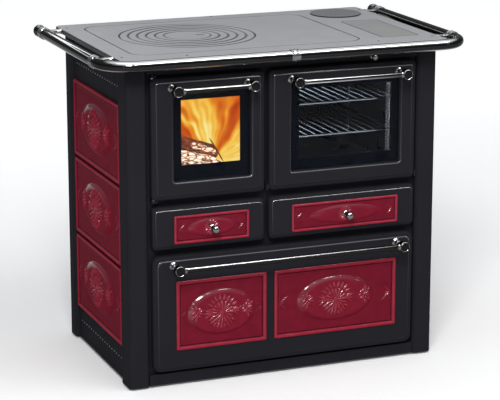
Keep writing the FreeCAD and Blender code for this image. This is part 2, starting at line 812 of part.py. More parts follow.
def make_handle(name, left, length, z):
    """A round bar socketed into two turned posts that stand on a door or drawer front."""
    bar_y = f"({DOOR_FRONT} - handle_reach)"
    right = f"({left} + {length})"
    part(rod(f"{name}_handle_bar", "x", (bar_y, z), "bar_radius", (left, right)), f"{name}_handle_bar")
    posts = []
    for n, x in enumerate((left, right)):
        base = rod(f"{name}_post_base_{n}", "y", (x, z), "handle_base_radius",
                   (f"({DOOR_FRONT} - handle_base)", DOOR_FRONT))
        stem = rod(f"{name}_post_stem_{n}", "y", (x, z), "handle_stem_radius",
                   (bar_y, f"({DOOR_FRONT} - handle_base)"))
        bead_y = f"({DOOR_FRONT} - handle_bead_reach)"
        bead = ball(f"{name}_post_bead_{n}", (x, bead_y, z), "handle_bead_radius")
        drum = rod(f"{name}_post_drum_{n}", "y", (x, z), "drum_radius",
                   grow((bar_y, bar_y), "drum_length / 2"))
        inward = (x, f"({x} + drum_radius)") if n == 0 else (f"({x} - drum_radius)", x)
        socket = rod(f"{name}_post_socket_{n}", "x", (bar_y, z), "bar_radius + pin_gap", inward)
        turned = fuse(f"{name}_post_blank_{n}", [base, stem, bead, drum])
        posts.append(cut(f"{name}_post_{n}", turned, [socket]))
    part(group(f"{name}_handle_posts", posts), f"{name}_handle_posts")


def make_doors():
    fire_axis = (f"({FIRE_X[0]} + pin_inset)", PIN_Y)
    oven_axis = (f"({DOOR_Z[0]} + pin_inset)", PIN_Y)
    fire_bores, fire_lugs = hinge_pieces("fire_door", "z", fire_axis, DOOR_Z)
    oven_bores, oven_lugs = hinge_pieces("oven_door", "x", oven_axis, OVEN_X)
    part(group("hinge_lugs", fire_lugs + oven_lugs), "hinge_lugs")
    make_door("fire_door", FIRE_X, ("fire_stile_left", "fire_stile_right"), fire_bores)
    make_door("oven_door", OVEN_X, ("oven_stile_left", "oven_stile_right"), oven_bores)
    handle_z = f"({DOOR_Z[1]} - door_handle_drop)"
    make_handle("fire_door", f"({FIRE_X[0]} + fire_handle_left)", "fire_handle_length", handle_z)
    make_handle("oven_door", f"({OVEN_X[0]} + oven_handle_left)", "oven_handle_length", handle_z)


# Drawers

def make_drawer(name, tray_label, tiles):
    """Drawer front with a pocket for each tile, the tiles, and the sheet-steel tray behind."""
    x, z = DRAWERS[name]
    owner = new_body(f"{name}_drawer_front")
    pad(owner, sketch(owner, "XZ_Plane", f"-{DOOR_BACK}", [rectangle(x, z)]), "door_thickness")
    round_edges(owner, "door_round", lies_at("y", DOOR_FRONT))
    seats = [rectangle(grow(across, "tile_gap"), grow(up, "tile_gap")) for across, up, *_ in tiles]
    pocket(owner, sketch(owner, "XZ_Plane", f"-{DOOR_FRONT}", seats), "tile_pocket")
    part(owner, f"{name}_drawer_front")
    pieces = []
    for n, (across, up, boss_length, boss_height) in enumerate(tiles):
        tile = make_tile(f"{name}_tile_{n}", f"{across[1]} - {across[0]}", f"{up[1]} - {up[0]}",
                         boss_length, boss_height)
        pieces.append(place(tile, middle(across), TILE_BACK, middle(up)))
    if len(pieces) == 1:
        part(pieces[0], f"{name}_drawer_tile")
    else:
        part(group(f"{name}_drawer_tiles", pieces), f"{name}_drawer_tiles")
    across, up = tray_spans(x, z)
    y = (DOOR_BACK, f"({DOOR_BACK} + tray_depth)")
    inner = (shrink(across, "tray_wall"), shrink(y, "tray_wall"), (f"({up[0]} + tray_wall)", up[1]))
    part(shell(tray_label, (across, y, up), inner), tray_label)


def make_knob(name, x, z):
    """A turned mushroom knob on the tile's boss."""
    centre_y = f"({TILE_FACE} - knob_reach)"
    base = rod(f"{name}_base", "y", (x, z), "knob_base_radius", (f"({TILE_FACE} - knob_base)", TILE_FACE))
    stem = rod(f"{name}_stem", "y", (x, z), "knob_stem_radius", (centre_y, f"({TILE_FACE} - knob_base)"))
    head = doc.addObject("Part::Ellipsoid", f"{name}_head")
    bind(head, "Radius1", "knob_half_depth")
    bind(head, "Radius2", "knob_radius")
    bind(head, "Radius3", "knob_radius")
    head.Placement.Rotation = TURNS["y"]
    place(head, x, centre_y, z)
    part(fuse(name, [base, stem, head]), name)


def make_drawers():
    small_z = tile_span(SMALL_Z[0], "small_tile_bottom", "small_tile_height")
    wood_z = tile_span(WOOD_Z[0], "wood_tile_bottom", "wood_tile_height")
    ash_x = tile_span(FIRE_X[0], "ash_tile_left", "ash_tile_width")
    tool_x = tile_span(OVEN_X[0], "tool_tile_left", "tool_tile_width")
    wood_x = tile_span(WOOD_X[0], "wood_tile_left", "wood_tile_width")
    wide_x = tile_span(wood_x[1], "wood_tile_gap", "wide_tile_width")
    make_drawer("ash", "ash_pan", [(ash_x, small_z, "ash_boss_length", "small_boss_height")])
    make_drawer("tool", "tool_drawer_tray", [(tool_x, small_z, "tool_boss_length", "small_boss_height")])
    make_drawer("wood", "wood_drawer_tray", [(wood_x, wood_z, "wood_boss_length", "wood_boss_height"),
                                             (wide_x, wood_z, "wide_boss_length", "wood_boss_height")])
    make_knob("ash_drawer_knob", middle(ash_x), middle(small_z))
    make_knob("tool_drawer_knob", middle(tool_x), middle(small_z))
    make_handle("wood_drawer", f"({WOOD_X[0]} + wood_handle_left)", "wood_handle_length",
                f"({WOOD_Z[1]} - wood_handle_drop)")
    runners = []
    for name, (x, z) in DRAWERS.items():
        across, up = tray_spans(x, z)
        top = f"({up[0]} - seat_gap)"
        for side, span in (("left", (across[0], f"({across[0]} + runner_width)")),
                           ("right", (f"({across[1]} - runner_width)", across[1]))):
            runners.append(box(f"{name}_{side}_runner", span, (FRAME_BACK, BACK_INSIDE),
                               (f"({top} - runner_height)", top)))
    part(group("drawer_runners", runners), "drawer_runners")


def tile_span(edge, offset, width):
    return f"({edge} + {offset})", f"({edge} + {offset} + {width})"


# Flue damper

def make_damper():
    """A pull rod through the fascia: ball knob in front, damper plate at its inner end."""
    spot = ("damper_x", DAMPER_Z)
    centre_y = f"({FASCIA_FRONT} - damper_knob_reach)"
    front = f"({centre_y} + damper_neck)"
    back = f"({front} + damper_rod_length)"
    knob = ball("damper_ball", ("damper_x", centre_y, DAMPER_Z), "damper_knob_radius")
    neck = rod("damper_neck_piece", "y", spot, "damper_neck_radius", (centre_y, front))
    part(fuse("damper_knob", [knob, neck]), "damper_knob")
    pull = rod("damper_pull", "y", spot, "damper_rod_radius", (front, back))
    plate = box("damper_flap", grow((spot[0], spot[0]), "damper_plate_width / 2"),
                (back, f"({back} + damper_plate_thickness)"),
                (f"({DAMPER_Z} - damper_plate_height / 2)", f"({DAMPER_Z} + damper_plate_height / 2)"))
    part(fuse("damper_rod", [pull, plate]), "damper_rod")


# Hob

def seat_tools(name, x, y, radius):
    """The stepped hole that a lift-out plate rests in."""
    upper = rounded_slab(f"{name}_seat", x, y, (LEDGE_TOP, HOB_TOP), radius)
    lower = rounded_slab(f"{name}_mouth", shrink(x, "cook_ledge"), shrink(y, "cook_ledge"),
                         (DECK, HOB_TOP), radius)
    return [upper, lower]


def make_hob():
    slab = rounded_slab("top_slab", (f"(-{HOB_X})", HOB_X), (HOB_FRONT, HOB_BACK), (DECK, HOB_TOP),
                        "hob_round")
    tools = seat_tools("cook", COOK_X, COOK_Y, "cook_round")
    tools += seat_tools("access", ACCESS_X, ACCESS_Y, "access_round")
    tools.append(rod("cap_hole", "z", ("cap_x", "cap_y"), "cap_hole_radius", (DECK, HOB_TOP)))
    part(cut("top_plate", slab, tools), "top_plate")
    lift = (LIFT_BOTTOM, HOB_TOP)
    gap = "seam_gap"
    blank = rounded_slab("cook_blank", shrink(COOK_X, gap), shrink(COOK_Y, gap), lift, f"cook_round - {gap}")
    spot = ("ring_x", "ring_y")
    eye = rod("cook_eye", "z", spot, "ring_outer - ring_ledge", lift)
    seat = rod("cook_eye_seat", "z", spot, "ring_outer", (RING_SEAT, HOB_TOP))
    part(cut("cook_plate", blank, [eye, seat]), "cook_plate")
    access = rounded_slab("access_plate", shrink(ACCESS_X, gap), shrink(ACCESS_Y, gap), lift,
                          f"access_round - {gap}")
    part(access, "access_plate")
    cap_bottom = f"({HOB_TOP} + seat_gap)"
    lid = rod("cap_lid", "z", ("cap_x", "cap_y"), "cap_radius", (cap_bottom, f"({HOB_TOP} + cap_proud)"))
    plug = rod("cap_plug_piece", "z", ("cap_x", "cap_y"), f"cap_hole_radius - {gap}",
               (f"({HOB_TOP} - cap_plug)", cap_bottom))
    part(fuse("flue_cap", [lid, plug]), "flue_cap")


def make_rings():
    """Stepped rings that sit one inside the other, and the disc in the middle."""
    flange_bottom = f"({RING_SEAT} + seat_gap)"
    for n in range(HOB_RINGS):
        outer = f"(ring_outer - {n} * ring_step)"
        inner = f"(ring_outer - {n + 1} * ring_step)"
        ring = new_body(f"hob_ring_{n + 1}")
        revolve(ring, [(f"{inner} - ring_ledge", LIFT_BOTTOM),
                       (f"{outer} - ring_ledge - seam_gap", LIFT_BOTTOM),
                       (f"{outer} - ring_ledge - seam_gap", flange_bottom),
                       (f"{outer} - seam_gap", flange_bottom),
                       (f"{outer} - seam_gap", HOB_TOP),
                       (inner, HOB_TOP),
                       (inner, RING_SEAT),
                       (f"{inner} - ring_ledge", RING_SEAT)])
        part(place(ring, "ring_x", "ring_y", "0"), f"hob_ring_{n + 1}")
    edge = f"(ring_outer - {HOB_RINGS} * ring_step - seam_gap)"
    disc = new_body("hob_disc_blank")
    revolve(disc, [("0", LIFT_BOTTOM),
                   (f"{edge} - ring_ledge", LIFT_BOTTOM),
                   (f"{edge} - ring_ledge", flange_bottom),
                   (edge, flange_bottom),
                   (edge, HOB_TOP),
                   ("0", HOB_TOP)])
    place(disc, "ring_x", "ring_y", "0")
    notch_x = "(ring_x + notch_offset)"
    notch = box("disc_notch", grow((notch_x, notch_x), "notch_length / 2"),
                grow(("ring_y", "ring_y"), "notch_width / 2"), (f"({HOB_TOP} - notch_depth)", HOB_TOP))
    part(cut("hob_disc", disc, [notch]), "hob_disc")


# Towel rail

def quarter_bend(name, centre, turn, radius):
    bend = doc.addObject("Part::Torus", name)
    bind(bend, "Radius1", "rail_bend")
    bind(bend, "Radius2", radius)
    bend.Angle3 = 90
    bend.Placement.Rotation = FreeCAD.Rotation(FreeCAD.Vector(0, 0, 1), turn)
    return place(bend, *centre)


def make_rail():
    """Five tubes end to end: the front, two quarter bends, and the sides with their ball ends."""
    inner = "rail_radius - rail_wall"
    front_x = f"({RAIL_X} - rail_bend)"
    bend_y = f"({RAIL_Y} + rail_bend)"
    across = (f"(-{front_x})", front_x)
    bar = rod("rail_front_outside", "x", (RAIL_Y, RAIL_Z), "rail_radius", across)
    tubes = [cut("rail_front", bar, [rod("rail_front_bore", "x", (RAIL_Y, RAIL_Z), inner, across)])]
    for side, sign, turn in (("left", "-", 180), ("right", "", 270)):
        centre = (f"{sign}{front_x}", bend_y, RAIL_Z)
        bend = quarter_bend(f"rail_{side}_bend_outside", centre, turn, "rail_radius")
        hollow = quarter_bend(f"rail_{side}_bend_hollow", centre, turn, inner)
        tubes.append(cut(f"rail_{side}_bend", bend, [hollow]))
        rail_x = f"{sign}{RAIL_X}"
        ball_y = "(rail_back + ball_offset)"
        tube = rod(f"rail_{side}_outside", "y", (rail_x, RAIL_Z), "rail_radius", (bend_y, ball_y))
        tip = ball(f"rail_{side}_ball", (rail_x, ball_y, RAIL_Z), "ball_radius")
        bore = rod(f"rail_{side}_bore", "y", (rail_x, RAIL_Z), inner, (bend_y, "rail_back"))
        tubes.append(cut(f"rail_{side}", fuse(f"rail_{side}_blank", [tube, tip]), [bore]))
    part(group("towel_rail", tubes), "towel_rail")
    brackets = [make_bracket("front_bracket", "x", ("0", RAIL_Y), "y", (RAIL_Y, HOB_FRONT))]
    for end, y in (("front", "bracket_front_y"), ("back", "bracket_back_y")):
        for side, arm in both_sides(HOB_X, RAIL_X).items():
            rail_x = arm[0] if side == "left" else arm[1]
            brackets.append(make_bracket(f"{side}_{end}_bracket", "y", (rail_x, y), "x", arm))
    part(group("rail_brackets", brackets), "rail_brackets")


def make_bracket(name, along, spot, arm_axis, arm_span):
    """A collar on the rail with an arm to the edge of the hob."""
    x, y = spot
    centre, run = ((y, RAIL_Z), x) if along == "x" else ((x, RAIL_Z), y)
    length = grow((run, run), "collar_length / 2")
    collar = rod(f"{name}_collar", along, centre, "collar_radius", length)
    arm_z = f"({HOB_TOP} - hob_thickness / 2)"
    arm = rod(f"{name}_arm", arm_axis, (run, arm_z), "arm_radius", arm_span)
    bore = rod(f"{name}_bore", along, centre, "rail_radius + pin_gap", length)
    return cut(name, fuse(f"{name}_blank", [collar, arm]), [bore])


def check_document():
    """Stop if any object failed, or a piece is empty or invalid."""
    doc.recompute()
    failed = [obj.Name for obj in doc.Objects if {"Invalid", "Error"} & set(obj.State)]
    broken = [obj.Label for obj in sub_parts if obj.Shape.isNull() or not obj.Shape.isValid()]
    if failed or broken:
        raise RuntimeError(f"failed objects {failed}, broken pieces {broken}")


def write_parts():
    os.makedirs("parts", exist_ok=True)
    for obj in sub_parts:
        obj.Shape.exportStep(f"parts/{obj.Label}.step")


make_posts()
make_side_panels()
make_front_frame()
make_base_and_plinth()
make_back()
make_side_tiles()
make_firebox()
make_oven()
make_doors()
make_drawers()
make_damper()
make_hob()
make_rings()
make_rail()
check_document()
write_parts()
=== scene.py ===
import math

import bmesh
import bpy
import numpy as np
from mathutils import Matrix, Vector


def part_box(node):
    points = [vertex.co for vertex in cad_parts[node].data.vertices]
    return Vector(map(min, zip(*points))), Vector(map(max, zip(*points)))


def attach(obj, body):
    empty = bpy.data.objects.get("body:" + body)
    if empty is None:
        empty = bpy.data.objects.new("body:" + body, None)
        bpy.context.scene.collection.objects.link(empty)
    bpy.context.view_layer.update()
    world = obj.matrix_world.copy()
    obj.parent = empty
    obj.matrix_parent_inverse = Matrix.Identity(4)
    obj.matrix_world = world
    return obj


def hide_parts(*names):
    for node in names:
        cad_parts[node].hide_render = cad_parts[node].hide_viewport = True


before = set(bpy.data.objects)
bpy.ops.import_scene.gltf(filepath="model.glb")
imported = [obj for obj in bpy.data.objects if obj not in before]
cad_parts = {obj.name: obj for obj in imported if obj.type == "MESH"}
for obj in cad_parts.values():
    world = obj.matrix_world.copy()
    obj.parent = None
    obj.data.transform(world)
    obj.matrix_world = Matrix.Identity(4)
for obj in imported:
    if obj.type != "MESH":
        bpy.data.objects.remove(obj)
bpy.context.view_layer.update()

UP = Vector((0, 0, 1))
FRONT = Vector((0, -1, 0))
MM = 0.001


# Shapes

EASE_SHARE = 0.48
EASE_SEGMENTS = 2
CORNER_STEPS = 6
LEAST_CORNER = 0.3 * MM
SAME_POINT = 1e-6
SAME_CAD_POINT = 0.01 * MM
FLAT_ANGLE = math.radians(0.5)
SHARP_ANGLE = math.radians(30)
SMOOTH_ANGLE = math.radians(35)
SQUARE = 0.99999
TOP_BAND = 0.1 * MM


def eased(points, reach, steps=3):
    """A line of flat points with its inner corners rounded off."""
    line = [Vector(point) for point in points]
    rounded = [tuple(line[0])]
    for before, corner, after in zip(line, line[1:], line[2:]):
        back = before - corner
        ahead = after - corner
        start = corner + back.normalized() * min(reach, back.length * EASE_SHARE)
        end = corner + ahead.normalized() * min(reach, ahead.length * EASE_SHARE)
        for step in range(steps + 1):
            t = step / steps
            rounded.append(tuple(start * (1 - t) ** 2 + corner * 2 * t * (1 - t) + end * t ** 2))
    rounded.append(tuple(line[-1]))
    return rounded


def front_view(node):
    """Left, right, bottom and top of a node, seen from the front."""
    low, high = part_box(node)
    return (low.x, high.x, low.z, high.z)


def middle(node):
    """The middle of a node's box."""
    low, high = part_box(node)
    return (low + high) / 2


def grown(rect, by):
    """A rectangle moved outwards on all four sides."""
    left, right, bottom, top = rect
    return (left - by, right + by, bottom - by, top + by)


def outline(rect, radius, y):
    """Points round a rounded rectangle that faces the front, at one depth."""
    left, right, bottom, top = rect
    radius = min(max(radius, LEAST_CORNER), (right - left) / 2, (top - bottom) / 2)
    corners = (
        (right - radius, top - radius, 0),
        (left + radius, top - radius, 90),
        (left + radius, bottom + radius, 180),
        (right - radius, bottom + radius, 270),
    )
    points = []
    for x, z, start in corners:
        for step in range(CORNER_STEPS + 1):
            angle = math.radians(start + 90 * step / CORNER_STEPS)
            points.append(Vector((x + radius * math.cos(angle), y, z + radius * math.sin(angle))))
    return points


def loft(rings, looped=False):
    """Points and faces of a skin over rings of points, closed by its ends or back to its first ring."""
    count = len(rings[0])
    points = [point for ring in rings for point in ring]
    joins = [(n, n + 1) for n in range(len(rings) - 1)]
    if looped:
        joins.append((len(rings) - 1, 0))
    faces = []
    for one, other in joins:
        for n in range(count):
            m = (n + 1) % count
            faces.append((one * count + n, one * count + m, other * count + m, other * count + n))
    if not looped:
        faces.append(tuple(range(count)))
        faces.append(tuple(range(len(points) - count, len(points))))
    return points, faces


def circle(heart, side, other, radius, steps):
    """Points round a heart, in the plane of two ways."""
    turns = [2 * math.pi * n / steps for n in range(steps)]
    return [heart + (side * math.cos(t) + other * math.sin(t)) * radius for t in turns]


def turned(profile, centre, axis, steps=32, hollow=False):
    """A solid or ring turned about an axis. The profile gives radii and places along it, in millimetres."""
    axis = Vector(axis).normalized()
    side = axis.orthogonal().normalized()
    other = axis.cross(side)
    rings = []
    for radius, along in profile:
        rings.append(circle(Vector(centre) + axis * along * MM, side, other, radius * MM, steps))
    return loft(rings, hollow)


def level_tube(route, radius, steps=24):
    """A round bar along a route that lies level."""
    rings = []
    for n, point in enumerate(route):
        ahead = route[min(n + 1, len(route) - 1)] - route[max(n - 1, 0)]
        rings.append(circle(point, ahead.normalized().cross(UP), UP, radius, steps))
    return loft(rings)


def joined(*solids):
    """Several solids as one list of points and one of faces."""
    points = []
    faces = []
    for some_points, some_faces in solids:
        start = len(points)
        points.extend(some_points)
        faces.extend(tuple(start + n for n in face) for face in some_faces)
    return points, faces


def sheet(rows, columns):
    """The faces of a grid of points, and the run of points round its edge."""
    index = np.arange(rows * columns).reshape(rows, columns)
    quads = np.stack([index[:-1, :-1], index[:-1, 1:], index[1:, 1:], index[1:, :-1]], -1).reshape(-1, 4)
    rim = np.concatenate([index[0, :-1], index[:-1, -1], index[-1, :0:-1], index[:0:-1, 0]])
    return quads, rim


def shaded(mesh):
    """Smooth shading up to an angle, with faces square to the axes left flat."""
    mesh.shade_smooth()
    mesh.set_sharp_from_angle(angle=SMOOTH_ANGLE)
    normals = np.empty(len(mesh.polygons) * 3)
    mesh.polygons.foreach_get("normal", normals)
    square = np.abs(normals.reshape(-1, 3)).max(axis=1) > SQUARE
    mesh.polygons.foreach_set("use_smooth", ~square)
    mesh.update()


def mesh_of(name, solid):
    """A closed mesh with its doubles merged and its faces outwards."""
    points, faces = solid
    mesh = bpy.data.meshes.new(name)
    mesh.from_pydata([tuple(point) for point in points], [], faces)
    skin = bmesh.new()
    skin.from_mesh(mesh)
    bmesh.ops.remove_doubles(skin, verts=skin.verts, dist=SAME_POINT)
    bmesh.ops.recalc_face_normals(skin, faces=skin.faces)
    skin.to_mesh(mesh)
    skin.free()
    mesh.update()
    shaded(mesh)
    return mesh


def softened(node, width):
    """A node's own shape with the sharp edges of its top eased."""
    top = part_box(node)[1].z - TOP_BAND
    solid = bmesh.new()
    solid.from_mesh(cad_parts[node].data)
    bmesh.ops.remove_doubles(solid, verts=solid.verts, dist=SAME_CAD_POINT)
    bmesh.ops.dissolve_limit(solid, angle_limit=FLAT_ANGLE, verts=solid.verts, edges=solid.edges)
    sharp = [e for e in solid.edges if min(vert.co.z for vert in e.verts) > top
             and len(e.link_faces) == 2 and e.calc_face_angle() > SHARP_ANGLE]
    bmesh.ops.bevel(solid, geom=sharp, offset=width, offset_type="OFFSET", segments=EASE_SEGMENTS,
                    profile=0.5, affect="EDGES", clamp_overlap=True)
    solid.verts.index_update()
    points = [vert.co.copy() for vert in solid.verts]
    faces = [tuple(vert.index for vert in face.verts) for face in solid.faces]
    solid.free()
    return points, faces


def placed(name, data):
    """A new object in the scene."""
    thing = bpy.data.objects.new(name, data)
    bpy.context.scene.collection.objects.link(thing)
    return thing


def fit(name, shape, finish, body, slot, *nodes):
    """Puts a piece on its body, in the place of the nodes that it stands for."""
    mesh = shape if isinstance(shape, bpy.types.Mesh) else mesh_of(name, shape)
    mesh.materials.clear()
    mesh.materials.append(finish)
    piece = placed(name, mesh)
    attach(piece, body)
    if nodes:
        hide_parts(*nodes)


# Marks on the points of a mesh, which its finish reads

RIM_OFF = 0.05 * MM
UPWARD_GAIN = 4
# painted reflection: the directions, bands and fades that decide where chrome is left bright and where it is
# painted dark
REFLECTION_LIT_FRONT = np.array((-0.12, -0.62, 0.775))
REFLECTION_LIT_LEFT = np.array((0.6, 0.0, 0.8))
REFLECTION_LIT_RIGHT = np.array((-0.9, 0.0, -0.42))
REFLECTION_LIT_FADE = 0.06
UNDERSIDE = -0.78
UNDERSIDE_FADE = 0.1
NARROW_LIT_BAND = 0.93
WIDE_LIT_BAND = 0.74
TURNED_REFLECTION_SHADE = 0.8


def mark(mesh, name, values):
    """Keeps a value for each point of a mesh."""
    mesh.attributes.new(name, "FLOAT", "POINT").data.foreach_set("value", values.astype(np.float32))
    return mesh


def points_of(mesh):
    """The places and the normals of a mesh's points."""
    places = np.empty(len(mesh.vertices) * 3)
    ways = np.empty(len(mesh.vertices) * 3)
    mesh.vertices.foreach_get("co", places)
    mesh.vertex_normals.foreach_get("vector", ways)
    return places.reshape(-1, 3), ways.reshape(-1, 3)


def with_rims(mesh, axis, face, depth=math.inf, share=1.0, level=1.0):
    """Marks what lies off a piece's flat face, down to a depth, and less where it doesn't face upwards."""
    places, ways = points_of(mesh)
    off = np.abs(places[:, axis] - face)
    upwards = np.clip(UPWARD_GAIN * ways[:, 2], 0, 1)
    rim = share * ((off > RIM_OFF) & (off < depth)) * (level + (1 - level) * upwards)
    return mark(mesh, "rim", rim)


def fit_chrome(name, solid, body, *nodes, share=TURNED_REFLECTION_SHADE, edge=NARROW_LIT_BAND):
    """Puts a chrome piece on its body, marked with a painted dark reflection except on its underside, its
    upper front and the side towards the middle of the cooker, which are left bright as a painted highlight."""
    mesh = mesh_of(name, solid)
    places, ways = points_of(mesh)
    # painted reflection: 'wiped' is how far a normal faces the upper front or the middle of the cooker, where
    # the chrome is left bright; elsewhere, except straight down, it is painted dark as if mirroring dark
    # surroundings
    inner = np.where(places[:, 0] < 0, ways @ REFLECTION_LIT_LEFT, ways @ REFLECTION_LIT_RIGHT)
    wiped = np.maximum(ways @ REFLECTION_LIT_FRONT, inner)
    dark_reflection = np.clip((edge - wiped) / REFLECTION_LIT_FADE, 0, 1)
    over = np.clip((ways[:, 2] - UNDERSIDE) / UNDERSIDE_FADE, 0, 1)
    mark(mesh, "painted_reflection", share * dark_reflection * over)
    fit(name, mesh, LOOKS["chrome"], body, "chrome", *nodes)


# Node trees

MIX_DARK, MIX_LIGHT, MIX_RESULT = 6, 7, 2


def plug(tree, socket, value):
    """Links a socket to another one, or sets it to a plain value."""
    if isinstance(value, bpy.types.NodeSocket):
        tree.links.new(value, socket)
    else:
        socket.default_value = value


def feed(tree, node, **values):
    """Feeds a node's sockets by name."""
    for label, value in values.items():
        plug(tree, node.inputs[label.replace("_", " ")], value)


def add(tree, kind, **values):
    """A new node with its sockets fed by name."""
    node = tree.nodes.new(kind)
    feed(tree, node, **values)
    return node


def maths(tree, operation, *values):
    """The result of a sum over sockets and plain values."""
    node = tree.nodes.new("ShaderNodeMath")
    node.operation = operation
    for socket, value in zip(node.inputs, values):
        plug(tree, socket, value)
    return node.outputs[0]


def tree_with(name, kind, inputs, outputs):
    """A node tree with named sockets, and the sockets of its way in and out."""
    tree = bpy.data.node_groups.new(name, kind)
    for label, socket, *value in inputs:
        entry = tree.interface.new_socket(label, in_out="INPUT", socket_type=socket)
        if value:
            entry.default_value = value[0]
    for label, socket in outputs:
        tree.interface.new_socket(label, in_out="OUTPUT", socket_type=socket)
    return tree, tree.nodes.new("NodeGroupInput").outputs, tree.nodes.new("NodeGroupOutput").inputs


def repeat_tree():
    """Sets one shape on every point."""
    tree, enter, leave = tree_with("set_on_points", "GeometryNodeTree", [
        ("Geometry", "NodeSocketGeometry"), ("Shape", "NodeSocketObject"), ("Size", "NodeSocketFloat"),
        ("Finish", "NodeSocketMaterial")], [("Geometry", "NodeSocketGeometry")])
    shape = add(tree, "GeometryNodeObjectInfo", Object=enter["Shape"])
    copies = add(tree, "GeometryNodeInstanceOnPoints", Points=enter["Geometry"],
                 Instance=shape.outputs["Geometry"], Scale=enter["Size"])
    real = add(tree, "GeometryNodeRealizeInstances", Geometry=copies.outputs["Instances"])
    dress = add(tree, "GeometryNodeSetMaterial", Geometry=real.outputs["Geometry"], Material=enter["Finish"])
    tree.links.new(dress.outputs["Geometry"], leave["Geometry"])
    return tree


def object_noise(tree, scale, detail):
    """A noise on object coordinates, whose scale comes from a socket."""
    place = tree.nodes.new("ShaderNodeTexCoord").outputs["Object"]
    return add(tree, "ShaderNodeTexNoise", Vector=place, Scale=scale, Detail=detail).outputs["Fac"]


def uneven_group():
    """A value that drifts between two limits over the surface."""
    tree, enter, leave = tree_with("uneven", "ShaderNodeTree", [
        ("Scale", "NodeSocketFloat", 8.0), ("Low", "NodeSocketFloat", 0.4), ("High", "NodeSocketFloat", 0.6)],
        [("Value", "NodeSocketFloat")])
    drift = add(tree, "ShaderNodeMapRange", Value=object_noise(tree, enter["Scale"], 4.0),
                From_Min=0.3, From_Max=0.7, To_Min=enter["Low"], To_Max=enter["High"])
    tree.links.new(drift.outputs["Result"], leave["Value"])
    return tree


def two_tone_group():
    """A colour that wanders between a darker and a lighter tone, with a fine fleck."""
    tree, enter, leave = tree_with("two_tone", "ShaderNodeTree", [
        ("Scale", "NodeSocketFloat", 6.0), ("Fleck", "NodeSocketFloat", 400.0),
        ("Dark", "NodeSocketColor", (0, 0, 0, 1)), ("Light", "NodeSocketColor", (1, 1, 1, 1))],
        [("Color", "NodeSocketColor")])
    fleck = maths(tree, "MULTIPLY", object_noise(tree, enter["Fleck"], 2.0), 0.5)
    blend = maths(tree, "MULTIPLY_ADD", object_noise(tree, enter["Scale"], 3.0), 0.5, fleck)
    mix = tree.nodes.new("ShaderNodeMix")
    mix.data_type = "RGBA"
    tree.links.new(blend, mix.inputs["Factor"])
    tree.links.new(enter["Dark"], mix.inputs[MIX_DARK])
    tree.links.new(enter["Light"], mix.inputs[MIX_LIGHT])
    tree.links.new(mix.outputs[MIX_RESULT], leave["Color"])
    return tree


def grain_group():
    """The height of a fine grain, from a coarse and a fine noise."""
    tree, enter, leave = tree_with("grain", "ShaderNodeTree", [
        ("Coarse", "NodeSocketFloat", 300.0), ("Fine", "NodeSocketFloat", 1200.0)],
        [("Height", "NodeSocketFloat")])
    coarse = object_noise(tree, enter["Coarse"], 2.0)
    fine = object_noise(tree, enter["Fine"], 1.0)
    tree.links.new(maths(tree, "ADD", coarse, fine), leave["Height"])
    return tree


REPEAT = repeat_tree()
UNEVEN = uneven_group()
TWO_TONE = two_tone_group()
GRAIN = grain_group()


def fit_on_points(name, places, shape, finish, body, slot):
    """Puts one plain mesh with a shape at each place on its body."""
    pattern = placed(name + "_pattern", mesh_of(name + "_pattern", shape))
    points = bpy.data.meshes.new(name + "_places")
    points.from_pydata([tuple(place) for place in places], [], [])
    maker = placed(name, points)
    modifier = maker.modifiers.new("repeat", "NODES")
    modifier.node_group = REPEAT
    values = {"Shape": pattern, "Size": 1.0, "Finish": finish}
    for socket in REPEAT.interface.items_tree:
        if socket.in_out == "INPUT" and socket.name in values:
            modifier[socket.identifier] = values[socket.name]
    made = bpy.data.meshes.new_from_object(maker.evaluated_get(bpy.context.evaluated_depsgraph_get()))
    maker.modifiers.clear()
    bpy.data.objects.remove(maker)
    bpy.data.objects.remove(pattern)
    made.name = name
    shaded(made)
    fit(name, made, finish, body, slot)


# Finishes

